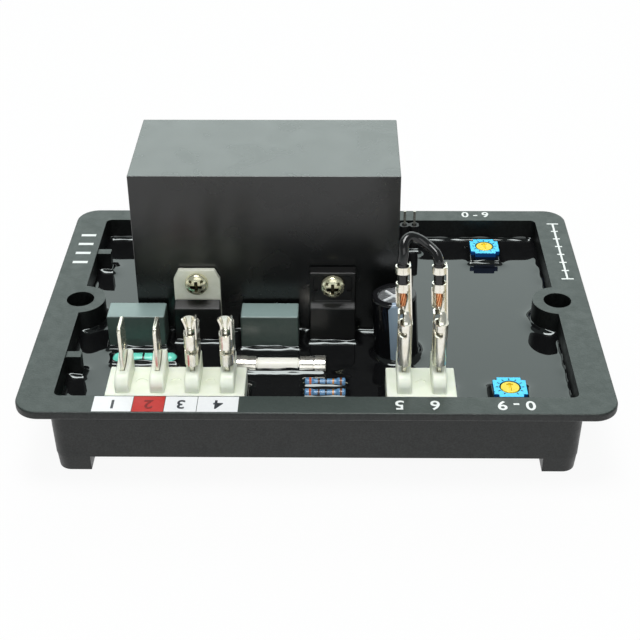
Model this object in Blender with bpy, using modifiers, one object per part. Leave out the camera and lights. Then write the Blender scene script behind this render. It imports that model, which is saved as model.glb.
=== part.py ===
"""Automatic voltage regulator: a potted tray with a heat sink, terminals and two trimmers.

Metres, +Z up. The origin lies under the middle of the tray, on the plane of its feet.
+X runs along the tray and +Y points away from the terminal housings.
"""
from math import cos, pi, radians, sin, sqrt

import bmesh
import bpy
from mathutils import Matrix, Vector
from mathutils.geometry import interpolate_bezier

MM = 0.001
FIT = 0.3 * MM
OVERSHOOT = 1.0 * MM

# Tray
FLANGE_SIDE = 8.0 * MM
FLANGE_FRONT = 6.15 * MM
FLANGE_BACK = 5.65 * MM
RIM_THICKNESS = 2.0 * MM
RIM_CORNER = 5.5 * MM
RIM_EDGE = 0.4 * MM
CAVITY_CORNER = 1.5 * MM
CAVITY_HEIGHT = 13.9 * MM
WALL = 1.6 * MM
WALL_DRAFT = 0.35 * MM
FLOOR = 2.0 * MM
FOOT_HEIGHT = 3.9 * MM
FOOT_LENGTH = 8.3 * MM
SCREW_OUTSET = 0.5 * MM
SCREW_HOLE_RADIUS = 3.3 * MM
BOSS_RADIUS = 6.0 * MM
RIB_WIDTH = 2.3 * MM
RIB_REACH = 3.4 * MM
RIB_DROP = 0.5 * MM
RIB_SETBACKS = {"front": 16.55 * MM, "back": 16.05 * MM}

# Board, its posts and the resin
BOARD_THICKNESS = 1.6 * MM
BOARD_INSET_X = 4.6 * MM
BOARD_INSET_Y = 2.0 * MM
POST_RADIUS = 2.0 * MM
POST_HEIGHT = 1.8 * MM
POST_INSET = 5.0 * MM
RESIN_DROP = 6.1 * MM
LEAD_RADIUS = 0.3 * MM
LEAD_TAIL = 1.2 * MM
HIDDEN_SEGMENTS = 6

# Heat sink and the two transistors on its front face
SINK_LENGTH = 61.5 * MM
SINK_DEPTH = 30.5 * MM
SINK_HEIGHT = 45.5 * MM
SINK_OVERHANG = 14.45 * MM
SINK_EDGE = 0.25 * MM
TAPPED_HOLE_DEPTH = 10.0 * MM
SCREW_RADIUS = 1.45 * MM
SCREW_LENGTH = 8.0 * MM
SCREW_HEAD_RADIUS = 2.7 * MM
SCREW_HEAD_HEIGHT = 2.1 * MM
SCREW_HEAD_EDGE = 0.7 * MM
SCREW_RECESS_LENGTH = 3.0 * MM
SCREW_RECESS_WIDTH = 0.7 * MM
SCREW_RECESS_DEPTH = 1.1 * MM
TAB_TRANSISTOR_WIDTH = 10.8 * MM
TAB_TRANSISTOR_RISE = 7.5 * MM
TAB_THICKNESS = 1.3 * MM
TAB_CHAMFER_X = 1.2 * MM
TAB_CHAMFER_Z = 2.4 * MM
TAB_FOOT_RISE = 3.0 * MM
MOULDED_TRANSISTOR_WIDTH = 10.7 * MM
MOULDED_TRANSISTOR_RISE = 8.0 * MM
MOULDED_UPPER_THICKNESS = 3.1 * MM
TRANSISTOR_THICKNESS = 4.4 * MM
TRANSISTOR_LIFT = 3.1 * MM
TRANSISTOR_BODY_HEIGHT = 11.3 * MM
TRANSISTOR_BEVEL = 1.0 * MM
TAB_SCREW_RISE = 4.3 * MM
MOULDED_SCREW_RISE = 4.85 * MM
TRANSISTOR_LEAD_PITCH = 2.54 * MM
TRANSISTOR_LEAD_WIDTH = 0.8 * MM
TRANSISTOR_LEAD_THICKNESS = 0.5 * MM
TRANSISTOR_LEAD_SETBACK = 2.6 * MM

# Film capacitors
FILM_LENGTH = 13.5 * MM
FILM_DEPTH = 6.4 * MM
FILM_HEIGHT = 12.8 * MM
FILM_EDGE = 0.35 * MM
FILM_LEAD_PITCH = 10.0 * MM

# Power resistor
POWER_RESISTOR_LIFT = 1.25 * MM
POWER_RESISTOR_LENGTH = 16.0 * MM
POWER_RESISTOR_RADIUS = 2.1 * MM
POWER_RESISTOR_PITCH = 20.3 * MM
POWER_LEAD_RADIUS = 0.4 * MM

# Fuse and clips
FUSE_LIFT = 0.25 * MM
FUSE_LENGTH = 20.0 * MM
FUSE_TUBE_RADIUS = 2.2 * MM
FUSE_CAP_RADIUS = 2.55 * MM
FUSE_CAP_LENGTH = 5.0 * MM
FUSE_CAP_WALL = 0.3 * MM
CLIP_LENGTH = 6.3 * MM
CLIP_WALL = 0.4 * MM
CLIP_OPENING = radians(130)
CLIP_LEG_WIDTH = 2.4 * MM

# Electrolytic capacitor
CAN_LEAN = radians(-3.8)
CAN_HEIGHT = 19.0 * MM
SLEEVE_RADIUS = 5.15 * MM
SLEEVE_WALL = 0.25 * MM
SLEEVE_LIP = 0.9 * MM
CAN_EDGE = 0.6 * MM
CAN_EDGE_MIDDLE = 0.2 * MM
VENT_LENGTH = 6.0 * MM
VENT_WIDTH = 0.35 * MM
VENT_DEPTH = 0.25 * MM
CAN_LEAD_PITCH = 5.0 * MM

# Small resistors
SMALL_RESISTOR_ROWS = 2
SMALL_RESISTOR_ROW_PITCH = 4.2 * MM
SMALL_RESISTOR_ABOVE_RESIN = 0.3 * MM
SMALL_RESISTOR_LENGTH = 9.2 * MM
SMALL_RESISTOR_END_LENGTH = 2.0 * MM
SMALL_RESISTOR_RADIUS = 1.2 * MM
SMALL_RESISTOR_WAIST = 0.95 * MM
SMALL_RESISTOR_PITCH = 12.7 * MM

# Terminal housings and blade tabs
TERMINAL_PITCH = 7.62 * MM
HOUSING_DEPTH = 11.1 * MM
HOUSING_HEIGHT = 9.6 * MM
HOUSING_EDGE = 0.25 * MM
TOWER_WIDTH = 3.2 * MM
TOWER_FRONT_RISE = 3.9 * MM
TOWER_BACK_RISE = 5.1 * MM
TOWER_FRONT_INSET = 0.9 * MM
TOWER_FRONT_ROUND = 2.6 * MM
TOWER_ROUND_STEPS = 4
TAB_SETBACK = 4.0 * MM
TAB_WIDTH = 6.3 * MM
TAB_SHEET = 0.8 * MM
TAB_RISE = 9.3 * MM
TAB_CORNER = 0.9 * MM
TAB_HOLE_RADIUS = 0.85 * MM
TAB_HOLE_DROP = 6.2 * MM
TAB_LEG_WIDTH = 1.4 * MM
TAB_SLOT_GAP = 0.35 * MM

# Receptacles that slide on the tabs
SHEET = 0.4 * MM
STRIP_SHEET = 0.34 * MM
RECEPTACLE_THICKNESS = 3.0 * MM
RECEPTACLE_WIDTH = 8.0 * MM
RECEPTACLE_MOUTH = 2.4 * MM
LOOSE_LIFT = 0.4 * MM
LOOSE_NOTCH_RISE = 2.9 * MM
LOOSE_BOX_BELOW_TAB = 1.2 * MM
LOOSE_STRIP_WIDTH = 2.6 * MM
LOOSE_WING_HEIGHT = 2.5 * MM
LOOSE_WING_WAIST = 0.75 * MM
LOOSE_WING_RADIUS = 1.6 * MM
LOOSE_WING_SETOFF = 3.0 * MM
LOOSE_WING_OPENING = radians(150)
NOTCH_HEIGHT = 1.3 * MM
NOTCH_REACH = 2.2 * MM
CRIMPED_LIFT = 0.6 * MM
CRIMPED_NOTCH_RISE = 7.4 * MM
CRIMPED_BOX_OVER_TAB = 1.6 * MM
NECK_WIDTH = 3.0 * MM
NECK_LENGTH = 6.6 * MM
TROUGH_START = 0.5 * MM
TROUGH_OPENING = radians(150)
CONDUCTOR_CRIMP_LENGTH = 2.0 * MM
CRIMP_SPACE = 2.9 * MM
INSULATION_CRIMP_LENGTH = 1.6 * MM
CRIMP_LEAN = 0.05
BARREL_WALL = 0.3 * MM
BARREL_SINK = 0.12 * MM

# Jumper lead between the two crimped receptacles
LEAD_OUTER_RADIUS = 1.1 * MM
STRAND_RADIUS = 0.75 * MM
STRAND_START = 3.2 * MM
STRIP_REACH = -0.4 * MM
JUMPER_MIDDLE = (
    (-4.6 * MM, 0.6 * MM, 2.2 * MM),
    (-4.6 * MM, 1.6 * MM, 3.4 * MM),
    (-4.1 * MM, 2.8 * MM, 4.2 * MM),
    (-3.0 * MM, 3.6 * MM, 4.5 * MM),
    (-1.3 * MM, 3.8 * MM, 3.8 * MM),
    (0.6 * MM, 3.0 * MM, 2.7 * MM),
    (2.2 * MM, 1.4 * MM, 1.7 * MM),
)
JUMPER_POINTS_PER_SPAN = 4

# Trimmers
TRIMMER_SIDE = 7.4 * MM
TRIMMER_HEIGHT = 6.9 * MM
TRIMMER_NOTCH = 1.0 * MM
ROTOR_RADIUS = 2.1 * MM
ROTOR_DEPTH = 1.6 * MM
ROTOR_SLOT_WIDTH = 0.6 * MM
ROTOR_SLOT_LENGTH = 3.0 * MM
ROTOR_SLOT_DEPTH = 0.6 * MM
TRIMMER_PIN_SPREAD = 2.5 * MM

# Link header
LINK_PITCH = 2.54 * MM
LINK_HEIGHT = 11.3 * MM
LINK_PIN_RISE = 4.0 * MM
LINK_PIN_SIDE = 0.64 * MM
LINK_CHAMFER = 0.6 * MM

# Spaces between the pieces, from the left wall to the right one
LEFT_WALL_TO_FILM = 7.85 * MM
FILM_TO_TAB_TRANSISTOR = 2.0 * MM
TAB_TRANSISTOR_TO_FILM = 4.9 * MM
FILM_TO_MOULDED_TRANSISTOR = 2.6 * MM
MOULDED_TRANSISTOR_TO_CAN = 4.8 * MM
CAN_TO_TRIMMER = 15.35 * MM
TRIMMER_TO_RIGHT_WALL = 10.3 * MM
LEFT_WALL_TO_HOUSING = 11.01 * MM
POWER_RESISTOR_OFFSET = 2.2 * MM
FUSE_OFFSET = 2.1 * MM
SMALL_RESISTOR_OFFSET = 1.6 * MM
TWO_WAY_OFFSET = 4.2 * MM
LINK_OFFSET = 4.6 * MM

# Spaces between the pieces, from the front wall to the back one
FRONT_WALL_TO_HOUSING = 0.45 * MM
HOUSING_TO_FUSE = 5.35 * MM
FUSE_TO_FILM = 3.55 * MM
FILM_TO_SINK = 1.0 * MM
SINK_TO_BACK_WALL = 14.35 * MM
POWER_RESISTOR_TO_FILM = 2.45 * MM
SMALL_RESISTOR_BEHIND_HOUSING = 1.6 * MM
CAN_TO_SINK = 3.15 * MM
TRIMMER_TO_WALL = {"back": 4.75 * MM, "front": 4.25 * MM}
LINK_TO_BACK_WALL = 4.85 * MM

# Places along X that follow from the sizes above
CAVITY_LENGTH = (LEFT_WALL_TO_FILM + FILM_LENGTH + FILM_TO_TAB_TRANSISTOR + TAB_TRANSISTOR_WIDTH
                 + TAB_TRANSISTOR_TO_FILM + FILM_LENGTH + FILM_TO_MOULDED_TRANSISTOR
                 + MOULDED_TRANSISTOR_WIDTH + MOULDED_TRANSISTOR_TO_CAN + 2 * SLEEVE_RADIUS
                 + CAN_TO_TRIMMER + TRIMMER_SIDE + TRIMMER_TO_RIGHT_WALL)
RIM_LENGTH = CAVITY_LENGTH + 2 * FLANGE_SIDE
SCREW_SPACING = CAVITY_LENGTH + 2 * SCREW_OUTSET
LEFT_FILM_X = -CAVITY_LENGTH / 2 + LEFT_WALL_TO_FILM + FILM_LENGTH / 2
TAB_TRANSISTOR_X = LEFT_FILM_X + (FILM_LENGTH + TAB_TRANSISTOR_WIDTH) / 2 + FILM_TO_TAB_TRANSISTOR
RIGHT_FILM_X = TAB_TRANSISTOR_X + (TAB_TRANSISTOR_WIDTH + FILM_LENGTH) / 2 + TAB_TRANSISTOR_TO_FILM
MOULDED_TRANSISTOR_X = (RIGHT_FILM_X + (FILM_LENGTH + MOULDED_TRANSISTOR_WIDTH) / 2
                        + FILM_TO_MOULDED_TRANSISTOR)
CAN_X = MOULDED_TRANSISTOR_X + MOULDED_TRANSISTOR_WIDTH / 2 + MOULDED_TRANSISTOR_TO_CAN + SLEEVE_RADIUS
TRIMMER_X = CAN_X + SLEEVE_RADIUS + CAN_TO_TRIMMER + TRIMMER_SIDE / 2
SINK_CENTRE_X = TAB_TRANSISTOR_X - SINK_OVERHANG + SINK_LENGTH / 2
FILM_CAPACITORS_X = {"left": LEFT_FILM_X, "right": RIGHT_FILM_X}
POWER_RESISTOR_X = LEFT_FILM_X + POWER_RESISTOR_OFFSET
FUSE_X = RIGHT_FILM_X + FUSE_OFFSET
SMALL_RESISTOR_X = MOULDED_TRANSISTOR_X - SMALL_RESISTOR_OFFSET
FOUR_WAY_X = -CAVITY_LENGTH / 2 + LEFT_WALL_TO_HOUSING + 2 * TERMINAL_PITCH
TWO_WAY_X = CAN_X + TWO_WAY_OFFSET
LINK_X = SINK_CENTRE_X + SINK_LENGTH / 2 + LINK_OFFSET

# Places along Y that follow from the sizes above
CLIP_RADIUS = FUSE_CAP_RADIUS + FIT + CLIP_WALL
CAVITY_DEPTH = (FRONT_WALL_TO_HOUSING + HOUSING_DEPTH + HOUSING_TO_FUSE + 2 * CLIP_RADIUS
                + FUSE_TO_FILM + FILM_DEPTH + FILM_TO_SINK + SINK_DEPTH + SINK_TO_BACK_WALL)
RIM_DEPTH = CAVITY_DEPTH + FLANGE_FRONT + FLANGE_BACK
CAVITY_SHIFT_Y = (FLANGE_FRONT - FLANGE_BACK) / 2
FRONT_WALL_Y = CAVITY_SHIFT_Y - CAVITY_DEPTH / 2
BACK_WALL_Y = CAVITY_SHIFT_Y + CAVITY_DEPTH / 2
HOUSING_FRONT_Y = FRONT_WALL_Y + FRONT_WALL_TO_HOUSING
HOUSING_BACK_Y = HOUSING_FRONT_Y + HOUSING_DEPTH
TAB_CENTRE_Y = HOUSING_BACK_Y - TAB_SETBACK
FUSE_Y = HOUSING_BACK_Y + HOUSING_TO_FUSE + CLIP_RADIUS
FILM_CENTRE_Y = FUSE_Y + CLIP_RADIUS + FUSE_TO_FILM + FILM_DEPTH / 2
SINK_FRONT_Y = FILM_CENTRE_Y + FILM_DEPTH / 2 + FILM_TO_SINK
TRANSISTOR_BACK_Y = SINK_FRONT_Y - FIT
POWER_RESISTOR_Y = FILM_CENTRE_Y - FILM_DEPTH / 2 - POWER_RESISTOR_TO_FILM - POWER_RESISTOR_RADIUS
SMALL_RESISTORS_Y = [HOUSING_BACK_Y + SMALL_RESISTOR_BEHIND_HOUSING - row * SMALL_RESISTOR_ROW_PITCH
                     for row in range(SMALL_RESISTOR_ROWS)]
CAN_Y = SINK_FRONT_Y - CAN_TO_SINK - SLEEVE_RADIUS
TRIMMERS_Y = {"back": BACK_WALL_Y - TRIMMER_TO_WALL["back"] - TRIMMER_SIDE / 2,
              "front": FRONT_WALL_Y + TRIMMER_TO_WALL["front"] + TRIMMER_SIDE / 2}
LINK_Y = BACK_WALL_Y - LINK_TO_BACK_WALL
RIB_PLACES_Y = (FRONT_WALL_Y + RIB_SETBACKS["front"], BACK_WALL_Y - RIB_SETBACKS["back"])

# Heights that follow from the sizes above
FLOOR_TOP = FOOT_HEIGHT + FLOOR
RIM_TOP = FLOOR_TOP + CAVITY_HEIGHT
RESIN_TOP = RIM_TOP - RESIN_DROP
BOARD_BASE = FLOOR_TOP + POST_HEIGHT + FIT
BOARD_TOP = BOARD_BASE + BOARD_THICKNESS
SEAT = BOARD_TOP + FIT
TAIL_END = BOARD_BASE - LEAD_TAIL
SINK_TOP = SEAT + SINK_HEIGHT
TRANSISTOR_FOOT = SEAT + TRANSISTOR_LIFT
TRANSISTOR_BODY_TOP = TRANSISTOR_FOOT + TRANSISTOR_BODY_HEIGHT
TAB_FOOT = TRANSISTOR_FOOT + TAB_FOOT_RISE
TAB_TRANSISTOR_TOP = TRANSISTOR_BODY_TOP + TAB_TRANSISTOR_RISE
MOULDED_TRANSISTOR_TOP = TRANSISTOR_BODY_TOP + MOULDED_TRANSISTOR_RISE
TAB_SCREW_Z = TRANSISTOR_BODY_TOP + TAB_SCREW_RISE
MOULDED_SCREW_Z = TRANSISTOR_BODY_TOP + MOULDED_SCREW_RISE
FILM_TOP = SEAT + FILM_HEIGHT
POWER_RESISTOR_Z = SEAT + POWER_RESISTOR_RADIUS + POWER_RESISTOR_LIFT
FUSE_Z = SEAT + CLIP_RADIUS + FUSE_LIFT
SMALL_RESISTOR_Z = RESIN_TOP + SMALL_RESISTOR_ABOVE_RESIN
HOUSING_TOP = SEAT + HOUSING_HEIGHT
TOWER_FRONT_TOP = HOUSING_TOP + TOWER_FRONT_RISE
TOWER_BACK_TOP = HOUSING_TOP + TOWER_BACK_RISE
TAB_TOP = TOWER_BACK_TOP + TAB_RISE
LOOSE_BOTTOM = TOWER_BACK_TOP + LOOSE_LIFT
LOOSE_NOTCH = LOOSE_BOTTOM + LOOSE_NOTCH_RISE
LOOSE_BOX_TOP = TAB_TOP - LOOSE_BOX_BELOW_TAB
LOOSE_WING_BASE = TAB_TOP + FIT
LOOSE_TOP = LOOSE_WING_BASE + LOOSE_WING_HEIGHT
CRIMPED_BOTTOM = TOWER_BACK_TOP + CRIMPED_LIFT
CRIMPED_NOTCH = CRIMPED_BOTTOM + CRIMPED_NOTCH_RISE
CRIMPED_BOX_TOP = TAB_TOP + CRIMPED_BOX_OVER_TAB
CONDUCTOR_CRIMP_BASE = CRIMPED_BOX_TOP + NECK_LENGTH
CONDUCTOR_CRIMP_TOP = CONDUCTOR_CRIMP_BASE + CONDUCTOR_CRIMP_LENGTH
INSULATION_CRIMP_BASE = CONDUCTOR_CRIMP_TOP + CRIMP_SPACE
CRIMPED_TOP = INSULATION_CRIMP_BASE + INSULATION_CRIMP_LENGTH
LEAN_START = CRIMPED_BOX_TOP - OVERSHOOT
STRAND_BASE = CRIMPED_BOX_TOP + STRAND_START
STRIP_LINE = CONDUCTOR_CRIMP_TOP + STRIP_REACH
TRIMMER_TOP = SEAT + TRIMMER_HEIGHT
LINK_TOP = SEAT + LINK_HEIGHT
LINK_PIN_TOP = LINK_TOP + LINK_PIN_RISE
BARREL_RADIUS = LEAD_OUTER_RADIUS + FIT + BARREL_WALL
CAN_RADIUS = SLEEVE_RADIUS - SLEEVE_WALL - FIT

COLOURS = {
    "tray": (0.030, 0.033, 0.032, 1),
    "resin": (0.006, 0.006, 0.007, 1),
    "board": (0.030, 0.110, 0.050, 1),
    "anodised": (0.022, 0.024, 0.023, 1),
    "moulding": (0.012, 0.012, 0.013, 1),
    "tin": (0.62, 0.60, 0.50, 1),
    "zinc": (0.58, 0.52, 0.30, 1),
    "film": (0.105, 0.145, 0.140, 1),
    "turquoise": (0.18, 0.78, 0.62, 1),
    "ceramic": (0.80, 0.76, 0.66, 1),
    "nylon": (0.80, 0.84, 0.74, 1),
    "aluminium": (0.66, 0.68, 0.70, 1),
    "blue": (0.06, 0.42, 0.80, 1),
    "pale_blue": (0.22, 0.40, 0.62, 1),
    "yellow": (0.90, 0.72, 0.05, 1),
    "copper": (0.72, 0.27, 0.10, 1),
}
METALS = {"anodised", "tin", "zinc", "aluminium", "copper"}


def clear_scene():
    for item in list(bpy.data.objects):
        bpy.data.objects.remove(item, do_unlink=True)


def new_collection(name, hidden=False):
    collection = bpy.data.collections.new(name)
    bpy.context.scene.collection.children.link(collection)
    collection.hide_render = hidden
    return collection


def material(colour, roughness=0.4):
    found = bpy.data.materials.get(colour)
    if found:
        return found
    made = bpy.data.materials.new(colour)
    made.use_nodes = True
    shader = made.node_tree.nodes["Principled BSDF"]
    shader.inputs["Base Color"].default_value = COLOURS[colour]
    shader.inputs["Roughness"].default_value = roughness
    shader.inputs["Metallic"].default_value = 1.0 if colour in METALS else 0.0
    return made


def move_to(item, collection):
    for owner in list(item.users_collection):
        owner.objects.unlink(item)
    collection.objects.link(item)
    return item


def object_from_mesh(name, mesh):
    item = bpy.data.objects.new(name, mesh)
    CUTTERS.objects.link(item)
    item.hide_render = True
    item.display_type = "WIRE"
    return item


def object_from_bmesh(name, shape):
    mesh = bpy.data.meshes.new(name)
    shape.to_mesh(mesh)
    shape.free()
    return object_from_mesh(name, mesh)


def finish(item, colour, smooth_angle=35):
    """Turn a working shape into one named piece of the regulator."""
    move_to(item, PARTS)
    item.hide_render = False
    item.display_type = "SOLID"
    item.data.materials.clear()
    item.data.materials.append(material(colour))
    item.data.shade_smooth()
    item.data.set_sharp_from_angle(angle=radians(smooth_angle))
    return item


def bake(item):
    """Apply the modifiers of a shape, so that others can be cut from it."""
    bpy.context.view_layer.update()
    graph = bpy.context.evaluated_depsgraph_get()
    mesh = bpy.data.meshes.new_from_object(item.evaluated_get(graph))
    shape = bmesh.new()
    shape.from_mesh(mesh)
    bmesh.ops.remove_doubles(shape, verts=shape.verts, dist=0.000001)
    bmesh.ops.recalc_face_normals(shape, faces=shape.faces)
    bpy.data.meshes.remove(mesh)
    made = object_from_bmesh(item.name + "_solid", shape)
    made.matrix_world = item.matrix_world
    name = item.name
    for modifier in list(item.modifiers):
        if modifier.type == "BOOLEAN":
            bpy.data.objects.remove(modifier.object, do_unlink=True)
    bpy.data.objects.remove(item, do_unlink=True)
    made.name = name
    return made


def settle(item):
    """Carry an object's place over into its mesh."""
    bpy.context.view_layer.update()
    item.data.transform(item.matrix_world)
    item.matrix_world = Matrix.Identity(4)
    return item


def boolean(item, other, operation):
    modifier = item.modifiers.new(operation.lower(), "BOOLEAN")
    modifier.operation = operation
    modifier.solver = "EXACT"
    modifier.object = other
    return item


def cut(item, *cutters):
    for cutter in cutters:
        boolean(item, cutter, "DIFFERENCE")
    return item


def join(item, *others):
    for other in others:
        boolean(item, other, "UNION")
    return item


def bevel(item, width, segments=1, angle=40):
    modifier = item.modifiers.new("edges", "BEVEL")
    modifier.width = width
    modifier.segments = segments
    modifier.limit_method = "ANGLE"
    modifier.angle_limit = radians(angle)
    return item


def block(name, low, high):
    """A box between two corners."""
    shape = bmesh.new()
    bmesh.ops.create_cube(shape, size=1.0)
    size = Vector(high) - Vector(low)
    bmesh.ops.scale(shape, vec=size, verts=shape.verts)
    item = object_from_bmesh(name, shape)
    item.location = (Vector(low) + Vector(high)) / 2
    return item


def box(name, centre_x, centre_y, length, depth, base, top):
    low = (centre_x - length / 2, centre_y - depth / 2, base)
    high = (centre_x + length / 2, centre_y + depth / 2, top)
    return block(name, low, high)


def cylinder(name, radius, start, end, segments=24):
    """A round bar between two points."""
    axis = Vector(end) - Vector(start)
    shape = bmesh.new()
    bmesh.ops.create_cone(shape, cap_ends=True, segments=segments, radius1=radius,
                          radius2=radius, depth=axis.length)
    turn = axis.to_track_quat("Z", "Y").to_matrix()
    bmesh.ops.rotate(shape, matrix=turn, verts=shape.verts)
    item = object_from_bmesh(name, shape)
    item.location = (Vector(start) + Vector(end)) / 2
    return item


def upright(name, radius, x, y, base, top, segments=24):
    return cylinder(name, radius, (x, y, base), (x, y, top), segments)


def arc(centre, radius, start, end, steps):
    """Points on an arc of the plane, from one angle to another."""
    return [(centre[0] + radius * cos(start + (end - start) * step / steps),
             centre[1] + radius * sin(start + (end - start) * step / steps))
            for step in range(steps + 1)]


def rounded_outline(length, depth, radius, steps=5):
    outline = []
    for corner, (sign_x, sign_y) in enumerate(((1, 1), (-1, 1), (-1, -1), (1, -1))):
        centre = (sign_x * (length / 2 - radius), sign_y * (depth / 2 - radius))
        start = corner * pi / 2
        outline += arc(centre, radius, start, start + pi / 2, steps)
    return outline


def plate(name, outline, base, top, shift=(0, 0)):
    """A flat outline in XY, extruded from one height to another."""
    half = (top - base) / 2
    shape = bmesh.new()
    floor = shape.faces.new([shape.verts.new((x, y, -half)) for x, y in outline])
    raised = bmesh.ops.extrude_face_region(shape, geom=[floor])["geom"]
    corners = [part for part in raised if isinstance(part, bmesh.types.BMVert)]
    bmesh.ops.translate(shape, vec=(0, 0, 2 * half), verts=corners)
    bmesh.ops.recalc_face_normals(shape, faces=shape.faces)
    item = object_from_bmesh(name, shape)
    item.location = (shift[0], shift[1], base + half)
    return item


def side_plate(name, outline, x, thickness):
    """A flat outline given as (y, z), extruded along X about the plane of x."""
    item = plate(name, outline, -thickness / 2, thickness / 2)
    turn = Matrix(((0, 0, 1), (1, 0, 0), (0, 1, 0))).to_4x4()
    item.data.transform(Matrix.Translation((x, 0, 0)) @ turn)
    return item


def front_plate(name, outline, back_y, thickness):
    """A flat outline given as (x, z), extruded along Y from back_y to the front."""
    item = settle(plate(name, outline, 0, thickness))
    turn = Matrix(((1, 0, 0), (0, 0, -1), (0, 1, 0))).to_4x4()
    item.data.transform(Matrix.Translation((0, back_y, 0)) @ turn)
    return item


def turned(name, profile, segments=24):
    """A profile of (radius, height) points, from the top axis point down, turned about Z."""
    shape = bmesh.new()
    points = [shape.verts.new((radius, 0, height)) for radius, height in profile]
    for first, second in zip(points, points[1:]):
        shape.edges.new((first, second))
    item = object_from_bmesh(name, shape)
    screw = item.modifiers.new("turn", "SCREW")
    screw.steps = segments
    screw.render_steps = segments
    screw.use_merge_vertices = True
    screw.merge_threshold = 0.00001
    screw.use_smooth_shade = True
    return bake(item)


def wire(name, points, radius, resolution=2):
    """A round wire through the points, as a closed mesh."""
    curve = bpy.data.curves.new(name, "CURVE")
    curve.dimensions = "3D"
    curve.bevel_depth = radius
    curve.bevel_resolution = resolution
    curve.use_fill_caps = True
    spline = curve.splines.new("POLY")
    spline.points.add(len(points) - 1)
    for point, place in zip(spline.points, points):
        point.co = (*place, 1)
    item = bpy.data.objects.new(name, curve)
    CUTTERS.objects.link(item)
    return bake(item)


def along_x(item, x, y, z):
    """Lay a shape turned about Z down along X, with its middle at a place."""
    item.data.transform(Matrix.Translation((x, y, z)) @ Matrix.Rotation(pi / 2, 4, "Y"))
    return item


def sheet_shell(name, path, base, top, thickness):
    """A bent sheet: an open path in XY, raised from base to top and given its thickness."""
    shape = bmesh.new()
    low = [shape.verts.new((x, y, base)) for x, y in path]
    high = [shape.verts.new((x, y, top)) for x, y in path]
    for step in range(len(path) - 1):
        shape.faces.new((low[step], low[step + 1], high[step + 1], high[step]))
    item = object_from_bmesh(name, shape)
    solidify = item.modifiers.new("sheet", "SOLIDIFY")
    solidify.thickness = thickness
    solidify.offset = 0
    return bake(item)


# Tray

def boss_places():
    return [(-SCREW_SPACING / 2, 0), (SCREW_SPACING / 2, 0)]


def post_places():
    reach_x = CAVITY_LENGTH / 2 - BOARD_INSET_X - POST_INSET
    reach_y = CAVITY_DEPTH / 2 - BOARD_INSET_Y - POST_INSET
    return [(sign_x * reach_x, sign_y * reach_y + CAVITY_SHIFT_Y)
            for sign_x in (-1, 1) for sign_y in (-1, 1)]


def rib_box(name, place_y, clearance, base, top):
    low = (-CAVITY_LENGTH / 2 - WALL / 2, place_y - RIB_WIDTH / 2 - clearance, base)
    high = (-CAVITY_LENGTH / 2 + RIB_REACH + clearance, place_y + RIB_WIDTH / 2 + clearance, top)
    return block(name, low, high)


def tub_shell(name, length, depth, base, top):
    """The outside of the tub, whose walls lean in by their draft towards the base."""
    item = plate(name, rounded_outline(length, depth, CAVITY_CORNER + WALL), base, top)
    for vertex in item.data.vertices:
        if vertex.co.z < 0:
            vertex.co.x *= 1 - 2 * WALL_DRAFT / length
            vertex.co.y *= 1 - 2 * WALL_DRAFT / depth
    item.location.y = CAVITY_SHIFT_Y
    return item


def make_tray():
    outer_length = CAVITY_LENGTH + 2 * WALL
    outer_depth = CAVITY_DEPTH + 2 * WALL
    corner = CAVITY_CORNER
    tray = plate("case_tray", rounded_outline(RIM_LENGTH, RIM_DEPTH, RIM_CORNER, 6),
                 RIM_TOP - RIM_THICKNESS, RIM_TOP)
    tray = bake(bevel(tray, RIM_EDGE, angle=60))
    tub = tub_shell("tub", outer_length, outer_depth, FOOT_HEIGHT, RIM_TOP - RIM_THICKNESS / 2)
    feet = tub_shell("feet", outer_length - 2 * WALL_DRAFT, outer_depth - 2 * WALL_DRAFT,
                     0, FOOT_HEIGHT + FLOOR / 2)
    gap_x = outer_length - 2 * FOOT_LENGTH
    gap_y = outer_depth - 2 * FOOT_LENGTH
    cut(feet, box("gap_x", 0, 0, gap_x, RIM_DEPTH, -OVERSHOOT, FOOT_HEIGHT),
        box("gap_y", 0, CAVITY_SHIFT_Y, RIM_LENGTH, gap_y, -OVERSHOOT, FOOT_HEIGHT))
    cavity = plate("cavity", rounded_outline(CAVITY_LENGTH, CAVITY_DEPTH, corner),
                   FLOOR_TOP, RIM_TOP + OVERSHOOT, (0, CAVITY_SHIFT_Y))
    join(tray, tub, bake(feet))
    cut(tray, cavity)
    for number, (x, y) in enumerate(boss_places()):
        join(tray, upright(f"boss_{number}", BOSS_RADIUS, x, y, 0, RIM_TOP, 32))
    for number, (x, y) in enumerate(post_places()):
        base = FLOOR_TOP - FLOOR / 2
        join(tray, upright(f"post_{number}", POST_RADIUS, x, y, base, FLOOR_TOP + POST_HEIGHT, 8))
    for number, place_y in enumerate(RIB_PLACES_Y):
        join(tray, rib_box(f"rib_{number}", place_y, 0, FLOOR_TOP - FLOOR / 2, RIM_TOP - RIB_DROP))
    for number, (x, y) in enumerate(boss_places()):
        cut(tray, upright(f"hole_{number}", SCREW_HOLE_RADIUS, x, y, -OVERSHOOT,
                          RIM_TOP + OVERSHOOT, 32))
    return finish(bake(tray), "tray")


# Passages that the resin and the board leave for the pieces standing in them

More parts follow.
